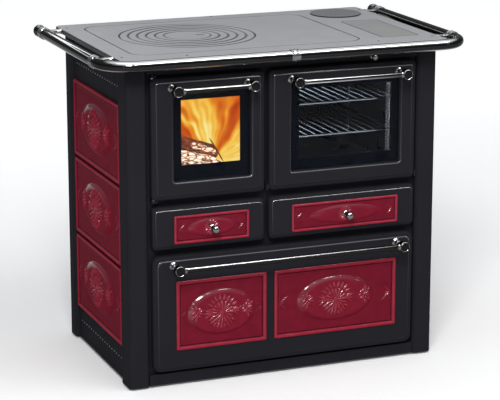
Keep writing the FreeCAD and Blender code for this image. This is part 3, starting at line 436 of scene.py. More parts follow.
class Finish:
    """A material in the making: its shader and the groups that feed it.

    The tones are a dark and a light colour with the scales of their patches and flecks. The gloss is a low
    and a high roughness with the scale of its drift. The grain is a coarse and a fine scale, a strength and
    a depth in millimetres. The rest are sockets of the shader.
    """

    def __init__(self, name, tones=None, gloss=None, grain=None, **sockets):
        self.material = bpy.data.materials.new(name)
        self.material.use_nodes = True
        self.tree = self.material.node_tree
        self.link = self.tree.links.new
        self.shader = self.tree.nodes["Principled BSDF"]
        self.feed(**sockets)
        if tones:
            dark, light, patch, fleck = tones
            self.tone = self.group(TWO_TONE, Scale=patch, Fleck=fleck, Dark=(*dark, 1), Light=(*light, 1))
            self.feed(Base_Color=self.tone)
        if gloss:
            low, high, drift = gloss
            self.feed(Roughness=self.group(UNEVEN, Scale=drift, Low=low, High=high))
        if grain:
            coarse, fine, strength, depth = grain
            self.bump(self.group(GRAIN, Coarse=coarse, Fine=fine), strength, depth)

    def feed(self, **values):
        """Feeds the shader's sockets by name."""
        feed(self.tree, self.shader, **values)

    def add(self, kind, **values):
        """A new node of the material."""
        return add(self.tree, kind, **values)

    def group(self, shared, **values):
        """What a shared group puts out for its own values."""
        node = self.tree.nodes.new("ShaderNodeGroup")
        node.node_tree = shared
        feed(self.tree, node, **values)
        return node.outputs[0]

    def place(self):
        """Object coordinates."""
        return self.tree.nodes.new("ShaderNodeTexCoord").outputs["Object"]

    def marked(self, name):
        """What the points of the mesh are marked with."""
        node = self.tree.nodes.new("ShaderNodeAttribute")
        node.attribute_name = name
        return node.outputs["Fac"]

    def scale_colour(self, tone, factor):
        """Feeds the base colour with a tone times a factor."""
        shade = self.tree.nodes.new("ShaderNodeVectorMath")
        shade.operation = "SCALE"
        feed(self.tree, shade, Vector=tone, Scale=factor)
        self.feed(Base_Color=shade.outputs["Vector"])

    def darken(self, name, share):
        """Scales the tones down to a share of themselves where the mesh is marked."""
        painted_shade = self.add("ShaderNodeMapRange", Value=self.marked(name), To_Min=1.0, To_Max=share)
        self.scale_colour(self.tone, painted_shade.outputs["Result"])

    def bump(self, height, strength, depth):
        """Bumps the surface by a height, to a depth in millimetres."""
        bump = self.add("ShaderNodeBump", Height=height, Strength=strength, Distance=depth * MM)
        self.feed(Normal=bump.outputs["Normal"])

    def ramp(self, factor, stops):
        """A colour ramp over a factor."""
        node = self.add("ShaderNodeValToRGB", Fac=factor)
        while len(node.color_ramp.elements) < len(stops):
            node.color_ramp.elements.new(0.5)
        for element, (place, tone) in zip(node.color_ramp.elements, stops):
            element.position = place
            element.color = (*tone, 1)
        return node.outputs["Color"]


def black_enamel():
    """Satin black enamel, wiped glossy along the rims."""
    finish = Finish("black_enamel_finish", tones=((0.013, 0.013, 0.016), (0.021, 0.021, 0.025), 5.0, 900.0),
                    gloss=(0.40, 0.50, 14.0), grain=(700.0, 1700.0, 0.2, 0.12),
                    Specular_IOR_Level=0.002, Coat_Roughness=0.08, Coat_IOR=2.6)
    finish.feed(Coat_Weight=finish.marked("rim"))
    return finish.material


def hob_iron(name, dark, light):
    """Ground cast iron, its rims darkened by painted shade that stands in for the shade in the seams."""
    finish = Finish(name, tones=(dark, light, 4.0, 700.0), gloss=(0.42, 0.54, 9.0),
                    grain=(500.0, 1500.0, 0.12, 0.12), Specular_IOR_Level=0.08)
    # painted shade: the rims darken to stand in for the shade in the seams between the iron pieces
    finish.darken("rim", 0.12)
    return finish.material


def chrome():
    """Bright chrome, its colour scaled down by a painted dark reflection where the mesh is marked."""
    finish = Finish("chrome_finish", tones=((0.62, 0.618, 0.615), (0.72, 0.718, 0.714), 12.0, 300.0),
                    gloss=(0.05, 0.10, 25.0), Metallic=1.0, Specular_Tint=(0.6, 0.6, 0.6, 1.0))
    # painted reflection: the colour falls to a small share of itself where the mark is high
    finish.darken("painted_reflection", 0.028)
    return finish.material


def majolica():
    """Red glaze that thins on the raised relief and pools in the hollows, glossiest on the flowers."""
    finish = Finish("majolica_finish", gloss=(0.07, 0.12, 30.0), grain=(60.0, 240.0, 0.03, 0.3),
                    Specular_IOR_Level=0.001, Coat_Roughness=0.06, Coat_IOR=1.8)
    finish.feed(Coat_Weight=finish.marked("glaze"))
    tone = finish.ramp(finish.marked("relief"), [
        (0.0, (0.060, 0.004, 0.009)), (0.2, (0.150, 0.010, 0.022)), (0.3, (0.18, 0.012, 0.026)),
        (0.55, (0.29, 0.021, 0.040)), (1.0, (0.32, 0.026, 0.046))])
    finish.scale_colour(tone, finish.group(UNEVEN, Scale=45.0, Low=0.9, High=1.08))
    return finish.material


def door_glass():
    """Clear ceramic glass that lets the lamps shine in."""
    finish = Finish("door_glass_finish", tones=((0.90, 0.93, 0.96), (0.95, 0.97, 0.99), 7.0, 60.0),
                    gloss=(0.0, 0.02, 12.0), Transmission_Weight=1.0, IOR=1.12)
    path = finish.add("ShaderNodeLightPath")
    clear = finish.add("ShaderNodeBsdfTransparent", Color=(0.86, 0.90, 0.93, 1))
    mix = finish.add("ShaderNodeMixShader", Fac=path.outputs["Is Shadow Ray"])
    finish.link(finish.shader.outputs["BSDF"], mix.inputs[1])
    finish.link(clear.outputs["BSDF"], mix.inputs[2])
    finish.link(mix.outputs["Shader"], finish.tree.nodes["Material Output"].inputs["Surface"])
    return finish.material


def sheet_steel():
    """Zinc-coated sheet with its spangle."""
    finish = Finish("sheet_steel_finish", gloss=(0.34, 0.50, 30.0), grain=(120.0, 800.0, 0.08, 0.2),
                    Metallic=1.0)
    spangle = finish.add("ShaderNodeTexVoronoi", Vector=finish.place(), Scale=70.0)
    tone = finish.ramp(spangle.outputs["Color"], [(0.0, (0.36, 0.37, 0.38)), (1.0, (0.44, 0.45, 0.46))])
    finish.feed(Base_Color=tone)
    return finish.material


def rope_seal(name, dark, light):
    """Braided glass rope, its strands crossing both ways."""
    finish = Finish(name, tones=(dark, light, 120.0, 900.0), gloss=(0.80, 0.92, 60.0),
                    Specular_IOR_Level=0.2, Sheen_Weight=0.2)
    place = finish.place()
    strands = []
    for turn in (45, -45):
        lie = finish.add("ShaderNodeMapping", Vector=place, Rotation=(0, math.radians(turn), 0))
        wave = finish.add("ShaderNodeTexWave", Vector=lie.outputs["Vector"], Scale=110.0, Distortion=0.6)
        strands.append(wave.outputs["Fac"])
    finish.bump(maths(finish.tree, "MAXIMUM", *strands), 0.8, 0.8)
    return finish.material


def flame():
    """Glowing gas: the heat of each place, a little ragged, from a deep orange up to pale yellow."""
    finish = Finish("flame_finish", Base_Color=(0, 0, 0, 1), Roughness=1.0, Specular_IOR_Level=0.0,
                    Emission_Strength=1.0)
    wisp = finish.group(UNEVEN, Scale=38.0, Low=-0.07, High=0.07)
    glow = finish.ramp(maths(finish.tree, "ADD", finish.marked("burning"), wisp), [
        (0.0, (0.40, 0.035, 0.003)), (0.25, (0.62, 0.10, 0.006)), (0.5, (0.84, 0.28, 0.015)),
        (0.75, (0.96, 0.58, 0.08)), (1.0, (1.0, 0.84, 0.32))])
    finish.feed(Emission_Color=glow)
    return finish.material


def charred_wood(name, stops, glow):
    """Burnt wood: cracked scales with a glow between them."""
    finish = Finish(name, gloss=(0.8, 0.95, 30.0), Specular_IOR_Level=0.2, Emission_Strength=glow)
    place = finish.place()
    lie = finish.add("ShaderNodeMapping", Vector=place, Scale=(48.0, 60.0, 150.0),
                     Rotation=(0, math.radians(16), 0))
    fray = finish.add("ShaderNodeTexNoise", Vector=place, Scale=75.0, Detail=4.0)
    bend = finish.add("ShaderNodeVectorMath")
    bend.operation = "ADD"
    finish.link(lie.outputs["Vector"], bend.inputs[0])
    finish.link(fray.outputs["Color"], bend.inputs[1])
    crack = finish.add("ShaderNodeTexVoronoi", Vector=bend.outputs["Vector"], Scale=1.0)
    crack.feature = "DISTANCE_TO_EDGE"
    tone = finish.ramp(crack.outputs["Distance"], stops)
    finish.feed(Base_Color=tone, Emission_Color=tone)
    finish.bump(crack.outputs["Distance"], 0.8, 3)
    return finish.material


LOOKS = {
    "black_enamel": black_enamel(),
    "hob_iron": hob_iron("hob_iron_finish", (0.25, 0.25, 0.262), (0.326, 0.326, 0.34)),
    "fire_iron": Finish(
        "fire_iron_finish", tones=((0.018, 0.017, 0.016), (0.05, 0.047, 0.044), 14.0, 500.0),
        gloss=(0.55, 0.75, 20.0), grain=(260.0, 900.0, 0.5, 0.4), Metallic=0.35).material,
    "chrome": chrome(),
    "majolica": majolica(),
    "door_glass": door_glass(),
    "oven_enamel": Finish(
        "oven_enamel_finish", tones=((0.003, 0.005, 0.009), (0.007, 0.010, 0.016), 9.0, 500.0),
        gloss=(0.26, 0.36, 18.0), grain=(20.0, 60.0, 0.02, 0.3),
        Specular_IOR_Level=0.2, Coat_Weight=0.1, Coat_Roughness=0.16).material,
    "sheet_steel": sheet_steel(),
    "firebrick": Finish(
        "firebrick_finish", tones=((0.26, 0.20, 0.14), (0.46, 0.38, 0.28), 16.0, 260.0),
        gloss=(0.80, 0.95, 20.0), grain=(160.0, 700.0, 0.7, 0.8), Specular_IOR_Level=0.2).material,
    "rope_seal": rope_seal("rope_seal_finish", (0.34, 0.34, 0.33), (0.52, 0.52, 0.50)),
    "foot_rubber": Finish(
        "foot_rubber_finish", tones=((0.010, 0.010, 0.010), (0.022, 0.022, 0.022), 40.0, 600.0),
        gloss=(0.65, 0.80, 30.0), grain=(400.0, 1200.0, 0.3, 0.2), Specular_IOR_Level=0.3).material,
}
CAP_IRON = hob_iron("flue_cap_finish", (0.12, 0.122, 0.127), (0.16, 0.162, 0.167))
PLATE_IRON = hob_iron("access_plate_finish", (0.20, 0.202, 0.20), (0.26, 0.262, 0.26))
PRINTED_BLACK = Finish(
    "printed_black_finish", tones=((0.004, 0.006, 0.011), (0.007, 0.009, 0.016), 20.0, 800.0),
    gloss=(0.25, 0.35, 20.0), grain=(500.0, 1400.0, 0.05, 0.05), Specular_IOR_Level=0.15).material
BLACK_CAP = Finish(
    "black_cap_finish", tones=((0.003, 0.003, 0.004), (0.007, 0.007, 0.008), 60.0, 700.0),
    gloss=(0.16, 0.26, 60.0), grain=(500.0, 1400.0, 0.05, 0.05), Specular_IOR_Level=0.08).material
RACK_WIRE = Finish(
    "rack_wire_finish", tones=((0.26, 0.28, 0.31), (0.40, 0.42, 0.46), 20.0, 300.0),
    gloss=(0.14, 0.24, 25.0), Metallic=1.0).material
DULL_BRAID = rope_seal("dull_braid_finish", (0.14, 0.142, 0.145), (0.22, 0.222, 0.226))

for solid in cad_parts.values():
    for n, look in enumerate(solid.data.materials):
        solid.data.materials[n] = LOOKS[look.name.split(".")[0]]
for node in ("oven_racks", "oven_rack_guides"):
    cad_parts[node].data.materials[0] = RACK_WIRE


# Doors and drawer fronts

FRONT_CORNER = 12 * MM
WOOD_CORNER = 20 * MM
CORNER_NARROWING = 0.6
SMALL_FRONT = 0.65
# Inset from the edge and depth behind the face, in millimetres
FRONT_EDGE = [(0, 6.5), (3.2, 3.6), (9.5, 2.8), (12.5, 0), (18, 0)]
FRONT_EASE = 2 * MM
RIM_DEPTH = 1 * MM
SIDE_RIM = 0.04
PANE_LAP = 11.5 * MM
PANE_CORNER = 2 * MM
WINDOW_CORNER = 4 * MM
WINDOW_FLAT = 11 * MM
WINDOW_BEVEL = 4.5 * MM
BORDER_LAP = 3 * MM
BORDER_THICKNESS = 0.4 * MM
CLEAR_CORNER = 1 * MM
FIRE_CLEAR = (-280 * MM, -123 * MM, 578 * MM, 744 * MM)
OVEN_CLEAR = (39 * MM, 298 * MM, 569 * MM, 750 * MM)


def edge_rings(node, corner, scale):
    """The outer rim of a front: its side, a rounded step, a narrow ledge, a second step and its face."""
    low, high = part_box(node)
    line = [(0, high.y)] + [(inset * MM, low.y + depth * MM) for inset, depth in FRONT_EDGE]
    return [outline(grown(front_view(node), -inset * scale), corner - inset * scale * CORNER_NARROWING, y)
            for inset, y in eased(line, FRONT_EASE, 4)]


def enamelled(name, solid, body, node):
    """Puts an enamelled front with glossy rims on its body."""
    shell = with_rims(mesh_of(name, solid), 1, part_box(node)[0].y, RIM_DEPTH, level=SIDE_RIM)
    fit(name, shell, LOOKS["black_enamel"], body, "black_enamel", node)


def glazed_door(body, clear):
    """A door panel with a bevelled window, and the black border printed on the back of its pane."""
    panel = body + "_panel"
    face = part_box(panel)[0].y
    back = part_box(panel)[1].y
    pane = front_view(body + "_glass")
    pane_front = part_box(body + "_glass")[0].y
    pane_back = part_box(body + "_glass")[1].y
    window = grown(pane, -PANE_LAP)
    lip = [(WINDOW_FLAT, face), (WINDOW_BEVEL, face), (0, face + WINDOW_BEVEL), (0, pane_front)]
    lip = eased(lip, FRONT_EASE)
    rings = edge_rings(panel, FRONT_CORNER, 1.0)
    rings += [outline(grown(window, spread), WINDOW_CORNER + spread, y) for spread, y in lip]
    rings += [outline(pane, PANE_CORNER, pane_front), outline(pane, PANE_CORNER, back)]
    enamelled(body + "_shell", loft(rings, True), body, panel)
    wide = grown(window, BORDER_LAP)
    border_back = pane_back + BORDER_THICKNESS
    border = [outline(wide, WINDOW_CORNER, pane_back), outline(clear, CLEAR_CORNER, pane_back),
              outline(clear, CLEAR_CORNER, border_back), outline(wide, WINDOW_CORNER, border_back)]
    fit(body + "_printed_border", loft(border, True), PRINTED_BLACK, body, "black_enamel")


def drawer_front(body, corner, scale):
    """A closed front with a stepped edge."""
    node = body + "_front"
    enamelled(body + "_face", loft(edge_rings(node, corner, scale)), body, node)


# Handles, knobs and the towel rail: radii and places along the axis, in millimetres

POST = [(10.5, -1), (10.5, 1.6), (9.6, 2.8), (7.2, 4.0), (5.6, 6.2), (5.2, 9.0), (6.4, 11.2), (8.6, 13.4),
        (9.3, 15.8), (8.6, 18.2), (6.4, 20.4), (5.3, 22.6), (5.2, 30.5), (6.6, 32.0), (8.0, 33.4),
        (8.2, 34.8), (7.4, 36.2), (8.0, 37.4), (11.6, 38.4), (13.4, 39.8), (14.0, 42.0), (14.0, 52.6),
        (13.4, 55.0), (12.8, 56.4), (12.2, 56.8), (11.7, 56.4), (11.5, 55.0)]
POST_CAP = [(11.6, 54.6), (11.6, 56.0), (9.0, 56.6), (3.0, 56.9)]
FERRULE = [(7.0, 12.0), (8.8, 13.0), (9.2, 15.5), (8.6, 18.0), (7.0, 19.0)]
KNOB = [(8.4, -2), (8.4, 0.8), (7.6, 2.2), (5.4, 3.6), (4.5, 6.5), (4.4, 10.5), (5.0, 14.0), (6.6, 16.8),
        (6.9, 17.8), (6.6, 18.8), (8.4, 20.2), (10.2, 22.6), (11.0, 25.6), (10.7, 28.8), (9.5, 31.8),
        (7.4, 34.2), (4.6, 35.6), (1.6, 36.0)]
PULL = [(6.4, -1), (6.4, 1.2), (5.2, 2.6), (3.6, 3.4), (3.4, 4.6), (5.0, 5.8), (6.9, 8.0), (7.8, 10.6),
        (8.0, 12.4), (7.5, 15.2), (6.2, 17.6), (4.2, 19.2), (1.6, 19.9)]
HALF_COLLAR = [(14.2, -12), (15.5, -11.4), (16.3, -9.8), (16.0, -8.0), (14.9, -6.8), (14.8, -5.4),
               (15.7, -3.4), (16.4, -1.2)]
COLLAR = HALF_COLLAR + [(radius, -along) for radius, along in reversed(HALF_COLLAR)]
BALL = 16.5
BALL_NECK = [(14.4, -16.5), (15.4, -15.6), (15.4, -13.0), (14.4, -12.0)]
BALL_DOME = range(-32, 88, 12)
RAIL = 14.0
RAIL_BEND = 84 * MM
RAIL_SIDES = 32
BEND_STEPS = 16
SIDE_BRACKETS = (-205 * MM, 240 * MM)


def bar_handle(body):
    """Two turned posts with a bar between their drums."""
    low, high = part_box(body + "_handle_bar")
    _, depth, level = middle(body + "_handle_bar")
    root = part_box(body + "_handle_posts")[1].y
    posts = []
    caps = []
    ferrules = []
    for x, way in ((low.x, 1), (high.x, -1)):
        posts.append(turned(POST, (x, root, level), FRONT))
        caps.append(turned(POST_CAP, (x, root, level), FRONT))
        ferrules.append(turned(FERRULE, (x, depth, level), (way, 0, 0)))
    route = [Vector((low.x, depth, level)), Vector((high.x, depth, level))]
    bar = level_tube(route, (high.z - low.z) / 2)
    fit_chrome(body + "_bar", bar, body, body + "_handle_bar", share=1.0, edge=WIDE_LIT_BAND)
    fit_chrome(body + "_posts", joined(*posts, *ferrules), body, body + "_handle_posts")
    fit(body + "_post_caps", joined(*caps), BLACK_CAP, body, "black_enamel")


def turned_pull(name, profile, body, node):
    """A turned knob or ball in the place of its node."""
    x, _, z = middle(node)
    fit_chrome(name, turned(profile, (x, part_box(node)[1].y, z), FRONT), body, node)


def rail_arm(gap):
    """Outline of a turned arm from inside a collar to the edge of the hob."""
    reach = gap / MM + 1
    return [(6.0, 12), (6.0, reach - 6), (7.2, reach - 4), (7.8, reach - 2), (7.8, reach)]


def towel_rail():
    """The bent rail with a ball at each end, and its collars and arms."""
    low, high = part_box("towel_rail")
    half = high.x - BALL * MM
    front = low.y + RAIL * MM
    rear = high.y - BALL * MM
    level = middle("towel_rail").z
    route = [Vector((-half, rear, level))]
    for x, start in ((-half + RAIL_BEND, 180), (half - RAIL_BEND, 270)):
        heart = Vector((x, front + RAIL_BEND, level))
        for step in range(BEND_STEPS + 1):
            angle = math.radians(start + 90 * step / BEND_STEPS)
            route.append(heart + Vector((math.cos(angle), math.sin(angle), 0)) * RAIL_BEND)
    route.append(Vector((half, rear, level)))
    dome = [math.radians(angle) for angle in BALL_DOME]
    tip = BALL_NECK + [(BALL * math.cos(a), BALL * math.sin(a)) for a in dome]
    tips = [turned(tip, (x, rear, level), (0, 1, 0)) for x in (-half, half)]
    rail = joined(level_tube(route, RAIL * MM, RAIL_SIDES), *tips)
    fit_chrome("bent_rail", rail, "carcass", "towel_rail", share=1.0)
    hob_low, hob_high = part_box("top_plate")
    hob_level = middle("top_plate").z
    clamps = [turned(COLLAR, (0, front, level), (1, 0, 0)),
              turned(rail_arm(hob_low.y - front), (0, front, hob_level), (0, 1, 0))]
    for x, way in ((-half, 1), (half, -1)):
        for y in SIDE_BRACKETS:
            clamps.append(turned(COLLAR, (x, y, level), (0, 1, 0)))
            clamps.append(turned(rail_arm(half - hob_high.x), (x, y, hob_level), (way, 0, 0)))
    fit_chrome("rail_clamps", joined(*clamps), "carcass", "rail_brackets")


# Majolica tiles, in millimetres. A boss is its width, its height and the width of its shoulder.

TILE_CORNER = 5.0
TILE_SEAT = 1 * MM
FRONT_FIELD = 1.7
FRONT_STEP = 1.0
SIDE_FIELD = 3.8
SIDE_STEP = 1.5
SIDE_TILE_HEIGHT = 204.0
SIDE_TILE_PITCH = 213 * MM
SIDE_TILE_ROWS = 3
SIDE_BOSS = (254, 130, 16)
SIDE_SCALE = 1.2
SIDE_SEAT = 3.5 * MM
TALL_BOSS = 60
# Width of the rim, height of the boss and height of the flowers
TALL_RELIEF = (10.0, 6.0, 2.8)
LOW_RELIEF = (7.5, 3.0, 1.8)
BEAD_HEIGHT = 3.6
GROOVE_DEPTH = 0.7
# How pale the field is, and what the raised parts add to it
FIELD_TONE = 0.2
BEAD_TONE = 0.34
GROOVE_TONE = -0.16
BOSS_TONE = 0.08
FLOWER_TONE = 0.24
WALL_TONE = 0.3
BEAD_SHINE = 0.3
SPRIG_ROOM = 130
SPRIG_INSET = 15
SPRIG_TWIGS = ((42, 34), (-42, 32), (12, 14))
FAN = ((20, 25), (-6, 22), (-34, 26), (44, 20))
DRAWER_BOSSES = {"ash_drawer": (128, 46, 7), "tool_drawer": (196, 46, 7)}
WOOD_TILES = {"wood_relief_left": ((-302, -56, 98, 281), (183, 120, 11)),
              "wood_relief_right": ((-34, 311, 98, 281), (216, 120, 11))}


def leaf(u, v, start, angle, length, width):
    """Height, from 0 to 1, of a pointed leaf with a fold along its middle."""
    cosine = math.cos(math.radians(angle))
    sine = math.sin(math.radians(angle))
    along = ((u - start[0]) * cosine + (v - start[1]) * sine) / length
    across = np.abs((v - start[1]) * cosine - (u - start[0]) * sine)
    half = width / 2 * np.sin(math.pi * np.clip(along, 0, 1) ** 0.75) + 1e-6
    body = np.sqrt(np.clip(1 - (across / half) ** 2, 0, 1))
    fold = 0.72 + 0.28 * np.clip(across / (0.35 * half), 0, 1)
    return np.where((along > 0) & (along < 1), body * fold, 0)


def daisy(u, v, centre, radius, petals, turn=0.0):
    """Height, from 0 to 1, of a flower with narrow petals round a domed heart."""
    away = np.hypot(u - centre[0], v - centre[1]) / radius
    lap = (np.arctan2(v - centre[1], u - centre[0]) + turn) * petals / (2 * math.pi)
    lap = np.abs(lap - np.round(lap))
    out = np.clip((away - 0.2) / 0.8, 0, 1)
    tip = np.sqrt(1 - out ** 5)
    half = 0.44 * tip + 1e-6
    petal = np.sqrt(np.clip(1 - (lap / half) ** 2, 0, 1)) * (away > 0.2)
    heart = np.sqrt(np.clip(1 - (away / 0.24) ** 2, 0, 1))
    return np.maximum(petal * tip * (0.6 + 0.4 * np.sin(2.5 * out)), heart)


def ring_of_leaves(u, v, centre, reach, angles, length, width):
    """Leaves that point outwards round a centre."""
    shapes = []
    for angle in angles:
        way = (math.cos(math.radians(angle)), math.sin(math.radians(angle)))
        start = (centre[0] + reach * way[0], centre[1] + reach * way[1])
        shapes.append(leaf(u, v, start, angle, length, width))
    return np.maximum.reduce(shapes)


def garland(u, v, half_boss, scale):
    """A large daisy between two small flowers, in a fan of buds and leaves."""
    low = (0, -2 * scale)
    shapes = [daisy(u, v, low, 31 * scale, 16)]
    shapes.append(ring_of_leaves(u, v, (0, 0), 30 * scale, range(30, 155, 17), 17 * scale, 8 * scale))
    shapes.append(ring_of_leaves(u, v, low, 29 * scale, range(205, 340, 15), 14 * scale, 6 * scale))
    for side in (1, -1):
        heart = (side * 0.74 * half_boss, 3 * scale)
        base = 0 if side > 0 else 180
        shapes.append(daisy(u, v, heart, 15 * scale, 9, 0.3))
        turns = [base + turn for turn in (-80, -45, 45, 80)]
        shapes.append(ring_of_leaves(u, v, heart, 13 * scale, turns, 12 * scale, 6 * scale))
        start = (side * 27 * scale, 0)
        for turn, length in FAN:
            shapes.append(leaf(u, v, start, base + side * turn, length * scale, 7 * scale))
    return np.maximum.reduce(shapes)


def rosette(u, v, half_boss, scale):
    """Petals round a knob."""
    return daisy(u, v, (0, 0), 20 * scale, 14)


def sprig(u, v, half_width, scale):
    """A small forked twig near each end of a tile, open towards the middle."""
    shapes = []
    for side in (1, -1):
        tip = (side * (half_width - SPRIG_INSET), 0)
        base = 180 if side > 0 else 0
        for turn, length in SPRIG_TWIGS:
            shapes.append(leaf(u, v, tip, base + turn, length * scale, 5.5 * scale))
    return np.maximum.reduce(shapes)


def tile_relief(width, height, boss, motif, scale, step):
    """Heights over a tile from its field, how pale it is and how its upper left slopes shine."""
    u, v = np.meshgrid(np.linspace(-width / 2, width / 2, round(width / step) + 1),
                       np.linspace(-height / 2, height / 2, round(height / step) + 1))
    over = np.abs(u) - width / 2 + TILE_CORNER
    above = np.abs(v) - height / 2 + TILE_CORNER
    corner = np.hypot(np.maximum(over, 0), np.maximum(above, 0))
    inset = TILE_CORNER - corner - np.minimum(np.maximum(over, above), 0)
    boss_width, boss_height, shoulder = boss
    rim, swell, bloom = TALL_RELIEF if boss_height > TALL_BOSS else LOW_RELIEF
    bead = np.sqrt(np.clip(1 - ((inset - rim * 0.45) / (rim * 0.5)) ** 2, 0, 1)) * (inset < rim)
    groove = np.exp(-((inset - rim * 1.08) / (rim * 0.16)) ** 2)
    inside = (1 - np.hypot(2 * u / boss_width, 2 * v / boss_height)) * boss_height / 2
    oval = 1 - (1 - np.clip(inside / shoulder, 0, 1)) ** 2
    room = min(1.0, (width - boss_width) / SPRIG_ROOM, height / SPRIG_ROOM)
    flowers = np.maximum(motif(u, v, boss_width / 2, scale), sprig(u, v, width / 2, room))
    clear = np.clip((inset - rim * 1.2) / 2, 0, 1)
    rise = BEAD_HEIGHT * bead - GROOVE_DEPTH * groove + (swell * oval + bloom * flowers) * clear
    pale = FIELD_TONE + BEAD_TONE * bead + GROOVE_TONE * groove
    pale += (BOSS_TONE * oval + FLOWER_TONE * flowers) * clear
    climb, run = np.gradient(rise, step)
    glaze = (run - climb) / np.sqrt(1 + climb ** 2 + run ** 2) * (BEAD_SHINE * (bead > 0) + clear)
    return rise, np.clip(pale, 0, 1), np.clip(glaze, 0, 1)


def pressed_tile(name, corner, right, out, size, relief, field, body, node):
    """A closed tile: its relief on the front, straight walls and a flat back."""
    rise, pale, glaze = relief
    rows, columns = rise.shape
    along, across = np.meshgrid(np.linspace(0, size[0], columns), np.linspace(0, size[1], rows))
    height = (field + rise) * MM
    grid = np.array(corner) + along[..., None] * np.array(right) + across[..., None] * np.array(UP)
    front = (grid + height[..., None] * np.array(out)).reshape(-1, 3)
    quads, rim = sheet(rows, columns)
    back = grid.reshape(-1, 3)[rim]
    under = rows * columns + np.arange(len(rim))
    walls = np.stack([rim, np.roll(rim, -1), np.roll(under, -1), under], -1)
    faces = quads.tolist() + walls.tolist() + [under.tolist()]
    mesh = mesh_of(name, (np.concatenate([front, back]), faces))
    for label, front_values, wall_value in (("relief", pale, WALL_TONE), ("glaze", glaze, 0.0)):
        mark(mesh, label, np.concatenate([front_values.ravel(), np.full(len(rim), wall_value)]))
    fit(name, mesh, LOOKS["majolica"], body, "majolica", node)


def front_tile(name, body, node, span, boss, motif):
    """A tile on a drawer's front, over a span of widths and heights."""
    left, right, bottom, top = span
    relief = tile_relief(right - left, top - bottom, boss, motif, 1.0, FRONT_STEP)
    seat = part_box(body + "_front")[0].y + TILE_SEAT
    corner = (left * MM, seat, bottom * MM)
    size = ((right - left) * MM, (top - bottom) * MM)
    pressed_tile(name, corner, (1, 0, 0), (0, -1, 0), size, relief, FRONT_FIELD, body, node)


def drawer_tile(body, boss):
    """The one tile of a small drawer."""
    span = [edge / MM for edge in front_view(body + "_tile")]
    front_tile(body + "_relief", body, body + "_tile", span, boss, rosette)


def side_tile_set():
    """Three tiles on each side panel."""
    low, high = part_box("side_tiles")
    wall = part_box("side_panels")[1].x - SIDE_SEAT
    width = (high.y - low.y) / MM
    relief = tile_relief(width, SIDE_TILE_HEIGHT, SIDE_BOSS, garland, SIDE_SCALE, SIDE_STEP)
    size = (width * MM, SIDE_TILE_HEIGHT * MM)
    for row in range(SIDE_TILE_ROWS):
        bottom = low.z + row * SIDE_TILE_PITCH
        for side, way, start in (("left", -1, high.y), ("right", 1, low.y)):
            corner = (way * wall, start, bottom)
            pressed_tile(f"{side}_tile_{row + 1}", corner, (0, way, 0), (way, 0, 0), size, relief,
                         SIDE_FIELD, "carcass", "side_tiles")


# Hob

RINGS = 5
RING_GAP = 0.6
RING_LAP_GAP = 1.4
RING_SIDES = 96
RING_LAP = 6.6
RING_LAP_DEPTH = 4
RING_SEAT = 5.4
RING_SEAT_DEPTH = 3.7
# Inset from the edge and depth under the top
RING_LIP = [(0, 1.6), (0.6, 0.6), (2.2, 0.1), (3.6, 0)]
LEAST_SEAM_SHADE = 0.3
SCREW_SIDES = 12
SCREW_HEAD = [(3.6, -1.5), (3.6, 0.15), (3.0, 0.5), (1.9, 0.6), (1.7, 0.1), (0.6, 0.0)]
SCREW_SPOTS = [(-424, 249), (-265, -250), (262, -238), (429, 249), (0, 286), (424, -220), (-424, -220)]
# Each plate's node, body, width of its eased edge in millimetres, share of painted seam shade on it, and iron
PLATES = [
    ("top_plate", "carcass", 2.0, 1.0, LOOKS["hob_iron"]),
    ("cook_plate", "cook_plate", 2.4, 1.0, LOOKS["hob_iron"]),
    ("hob_disc", "ring_disc", 1.4, 0.55, LOOKS["hob_iron"]),
    ("flue_cap", "flue_cap", 1.2, 1.0, CAP_IRON),
    ("access_plate", "access_plate", 1.0, 1.0, PLATE_IRON),
]


def ring_reach(node):
    """The middle and the outer radius, in millimetres, of a round hob piece."""
    low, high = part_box(node)
    return middle(node).xy, (high.x - low.x) / 2 / MM


def hob_ring(n):
    """A lapped ring with eased edges, up to the next ring or the disc, its edges darkened by painted seam
    shade, heavier to the front and the rear.
    """
    node = f"hob_ring_{n}"
    centre, outer = ring_reach(node)
    inner = ring_reach(f"hob_ring_{n + 1}" if n < RINGS else "hob_disc")[1] + RING_LAP_GAP
    outer -= RING_GAP
    low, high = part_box(node)
    top = (high.z - low.z) / MM
    seat = top - RING_SEAT_DEPTH
    lap = top - RING_LAP_DEPTH
    edge = [(inner - RING_LAP, 0), (outer - RING_SEAT, 0), (outer - RING_SEAT, seat), (outer, seat)]
    edge += [(outer - inset, top - depth) for inset, depth in RING_LIP]
    edge += [(inner + inset, top - depth) for inset, depth in reversed(RING_LIP)]
    edge += [(inner, lap), (inner - RING_LAP, lap)]
    ring = mesh_of(f"eased_ring_{n}", turned(edge, (*centre, low.z), UP, RING_SIDES, True))
    # painted seam shade: full at the front and the rear of the ring, least at its sides
    aside, ahead = np.abs(points_of(ring)[0][:, :2] - np.array(centre)).T
    painted_shade = LEAST_SEAM_SHADE + (1 - LEAST_SEAM_SHADE) * ahead / np.hypot(aside, ahead)
    with_rims(ring, 2, high.z, share=painted_shade)
    fit(f"eased_ring_{n}", ring, LOOKS["hob_iron"], f"ring_{n}", "hob_iron", node)


def hob():
    """The cast-iron pieces of the hob with eased edges, and the screws of its frame."""
    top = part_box("top_plate")[1].z
    for node, body, ease, share, iron in PLATES:
        plate = mesh_of(node + "_eased", softened(node, ease * MM))
        with_rims(plate, 2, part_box(node)[1].z, share=share)
        fit(node + "_eased", plate, iron, body, "hob_iron", node)
    for n in range(1, RINGS + 1):
        hob_ring(n)
    places = [(x * MM, y * MM, top) for x, y in SCREW_SPOTS]
    head = turned(SCREW_HEAD, (0, 0, 0), UP, SCREW_SIDES)
    fit_on_points("hob_screws", places, head, LOOKS["fire_iron"], "carcass", "fire_iron")


# Side panels

